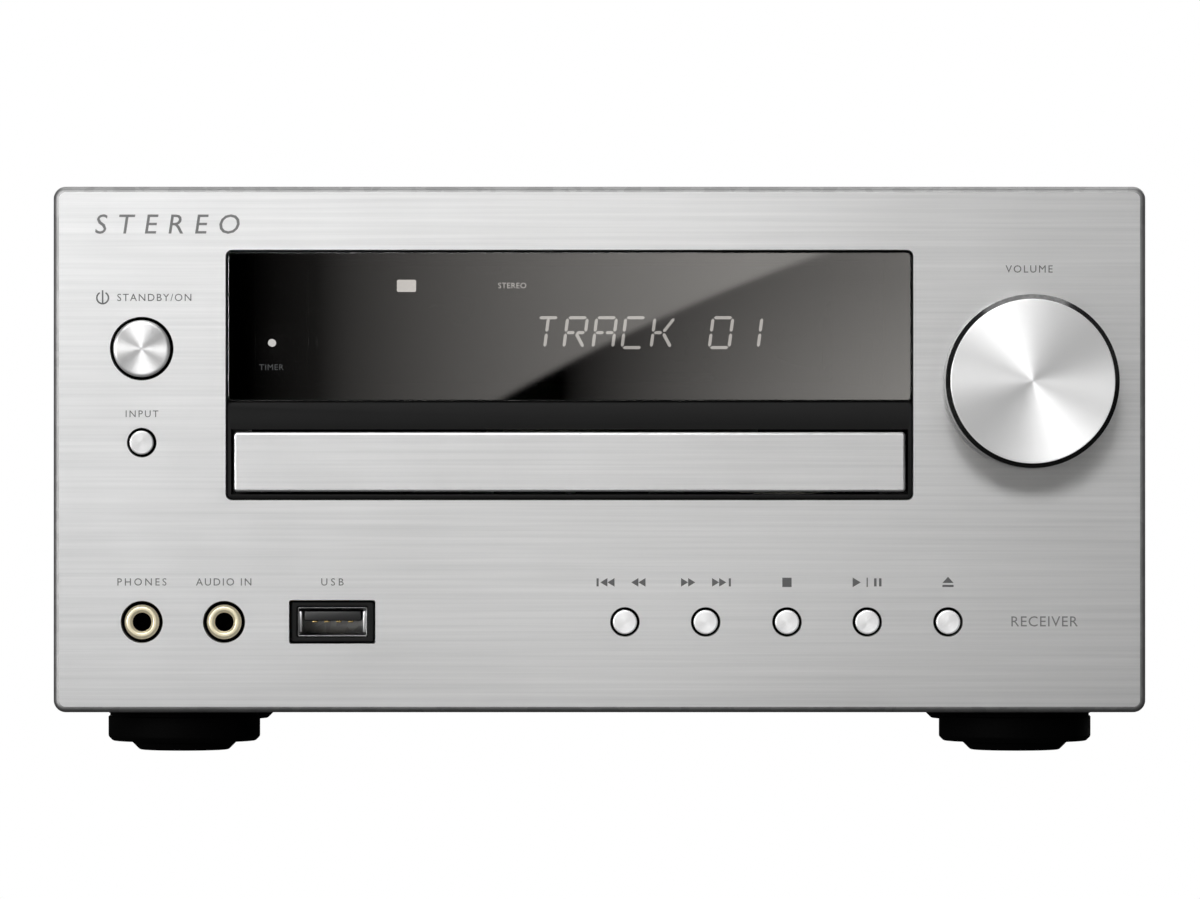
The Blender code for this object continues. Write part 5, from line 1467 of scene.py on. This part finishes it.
def window_card(away):
    """The card that the display's pane reflects: two soft ramps with a curved edge between them."""
    beyond = 2.2
    grow = 1 + beyond / away
    eye = bpy.context.scene.camera.location

    def at_card(x, z):
        return eye.x + (x - eye.x) * grow, eye.z + (z - eye.z) * grow

    made, tree, glow = emitter("window_card", (1.0, 0.965, 0.92, 1), 1.0)
    place = node(tree, "ShaderNodeTexCoord").outputs["Object"]
    parts = node(tree, "ShaderNodeSeparateXYZ", [(0, place)])
    x = parts.outputs["X"]
    width = (PANE_HIGH.x - PANE_LOW.x) * grow
    left = at_card(PANE_LOW.x, 0)[0]
    share = maths(tree, "DIVIDE", maths(tree, "SUBTRACT", x, left), width)
    faint = ranged(tree, share, 0.03, 0.18, 0.0, 0.3)
    upper = maths(tree, "ADD", faint, ranged(tree, share, 0.13, 0.775, 0.0, 4.8))
    height = at_card(0, PANE_HIGH.z - 5 * MM)[1], at_card(0, PANE_HIGH.z - 27 * MM)[1]
    fall = ranged(tree, parts.outputs["Z"], *height, 0.68, 1.0)
    lower = maths(tree, "MULTIPLY", fall, ranged(tree, share, 0.489, 1.0, 0.0, 4.87))
    centre = at_card(177 * MM, -281.7 * MM)
    radius = 403 * MM * grow
    offset = vectors(tree, "SUBTRACT", place, (centre[0], 0.0, centre[1]))
    flat = vectors(tree, "MULTIPLY", offset, (1.0, 0.0, 1.0))
    reach = node(tree, "ShaderNodeVectorMath", [(0, flat)], operation="LENGTH").outputs["Value"]
    above = ranged(tree, reach, radius - 1.5 * MM, radius + 1.5 * MM)
    both = node(tree, "ShaderNodeMix", [(0, above), (2, lower), (3, upper)]).outputs[0]
    tree.links.new(both, glow.inputs["Strength"])
    x0, z0 = at_card(PANE_LOW.x - 3 * MM, PANE_LOW.z - 3 * MM)
    x1, z1 = at_card(PANE_HIGH.x + 3 * MM, PANE_HIGH.z + 3 * MM)
    y = PANEL_FRONT - beyond
    mesh = bpy.data.meshes.new("window_card")
    mesh.from_pydata([(x0, y, z0), (x1, y, z0), (x1, y, z1), (x0, y, z1)], [], [(0, 3, 2, 1)])
    card = linked("window_card", mesh)
    mesh.materials.append(made)
    card.visible_camera = False
    card.visible_diffuse = False
    card.visible_shadow = False


def floor():
    """A floor at the feet that is as white to the camera as the background, and dim to the rest.

    Polished faces also see a pool of light on it, a little way in front of the panel."""
    mesh = bpy.data.meshes.new("floor")
    reach = 9.0
    mesh.from_pydata([(x, y, 0) for x, y in circle((0, 0), reach, 96)], [], [range(96)])
    ground = linked("floor", mesh)
    made, tree, glow = emitter("floor", (1, 1, 1, 1), 1.0)
    place = node(tree, "ShaderNodeTexCoord").outputs["Object"]
    parts = node(tree, "ShaderNodeSeparateXYZ", [(0, place)])
    ahead = maths(tree, "SUBTRACT", PANEL_FRONT, parts.outputs["Y"])
    near, far = ranged(tree, ahead, 0.03, 0.12), ranged(tree, ahead, 0.35, 0.7, 1.0, 0.0)
    path = node(tree, "ShaderNodeLightPath")
    shape = maths(tree, "MULTIPLY", near, far)
    pool = maths(tree, "MULTIPLY", shape, path.outputs["Is Glossy Ray"])
    dim = ranged(tree, pool, 0.0, 1.0, 0.03, 0.3)
    seen = path.outputs["Is Camera Ray"]
    tree.links.new(ranged(tree, seen, 0.0, 1.0, dim, 1.0), glow.inputs["Strength"])
    mesh.materials.append(made)
    ground.location.z = -0.05 * MM


def background():
    """White to the camera, and a soft grey room to everything else."""
    world = bpy.data.worlds.new("studio")
    bpy.context.scene.world = world
    world.use_nodes = True
    tree = world.node_tree
    tree.nodes.clear()
    end = tree.nodes.new("ShaderNodeOutputWorld")
    seen = node(tree, "ShaderNodeLightPath").outputs["Is Camera Ray"]
    white = node(tree, "ShaderNodeBackground", [("Color", (1, 1, 1, 1)), ("Strength", 1.0)])
    room = node(tree, "ShaderNodeBackground", [("Color", (1, 1, 1, 1)), ("Strength", 0.09)])
    sources = [(0, seen), (1, room.outputs[0]), (2, white.outputs[0])]
    both = node(tree, "ShaderNodeMixShader", sources)
    tree.links.new(both.outputs[0], end.inputs["Surface"])


def studio():
    away = camera()
    window_card(away)
    floor()
    background()
    target = (0, PANEL_FRONT, 60 * MM)
    lamp("key", (-0.38, -2.2, 1.05), target, (0.9, 0.45), 17.8)
    lamp("left_key", (-0.5, -2.3, 0.55), target, (0.8, 0.7), 0.4)
    lamp("right_top", (0.32, -2.25, 0.95), target, (0.8, 0.4), 2.0)
    lamp("left_side", (-1.0, -1.5, 60 * MM), target, (0.35, 0.45), 13)
    lamp("overhead", (0.0, 0.1, 1.5), (0, 0, 0.05), (1.6, 1.1), 9)
    lamp("rear", (1.1, 2.1, 1.0), (0, 0.13, 0.05), (1.6, 1.2), 16)
    bpy.context.scene.view_settings.view_transform = "Standard"


def main():
    for name in JACKS:
        headphone_jack(name)
    for make in (
        front_panel, window_and_fascia, volume_knob, buttons, usb_socket, display, feet, top_cover,
        cover_screws, rear_plate, speaker_terminals, rca_sockets, antenna_socket, mains_pins,
        rear_words, front_words, front_signs, rounded_pieces, main_board, transformer, kept_nodes,
        studio,
    ):
        make()


main()
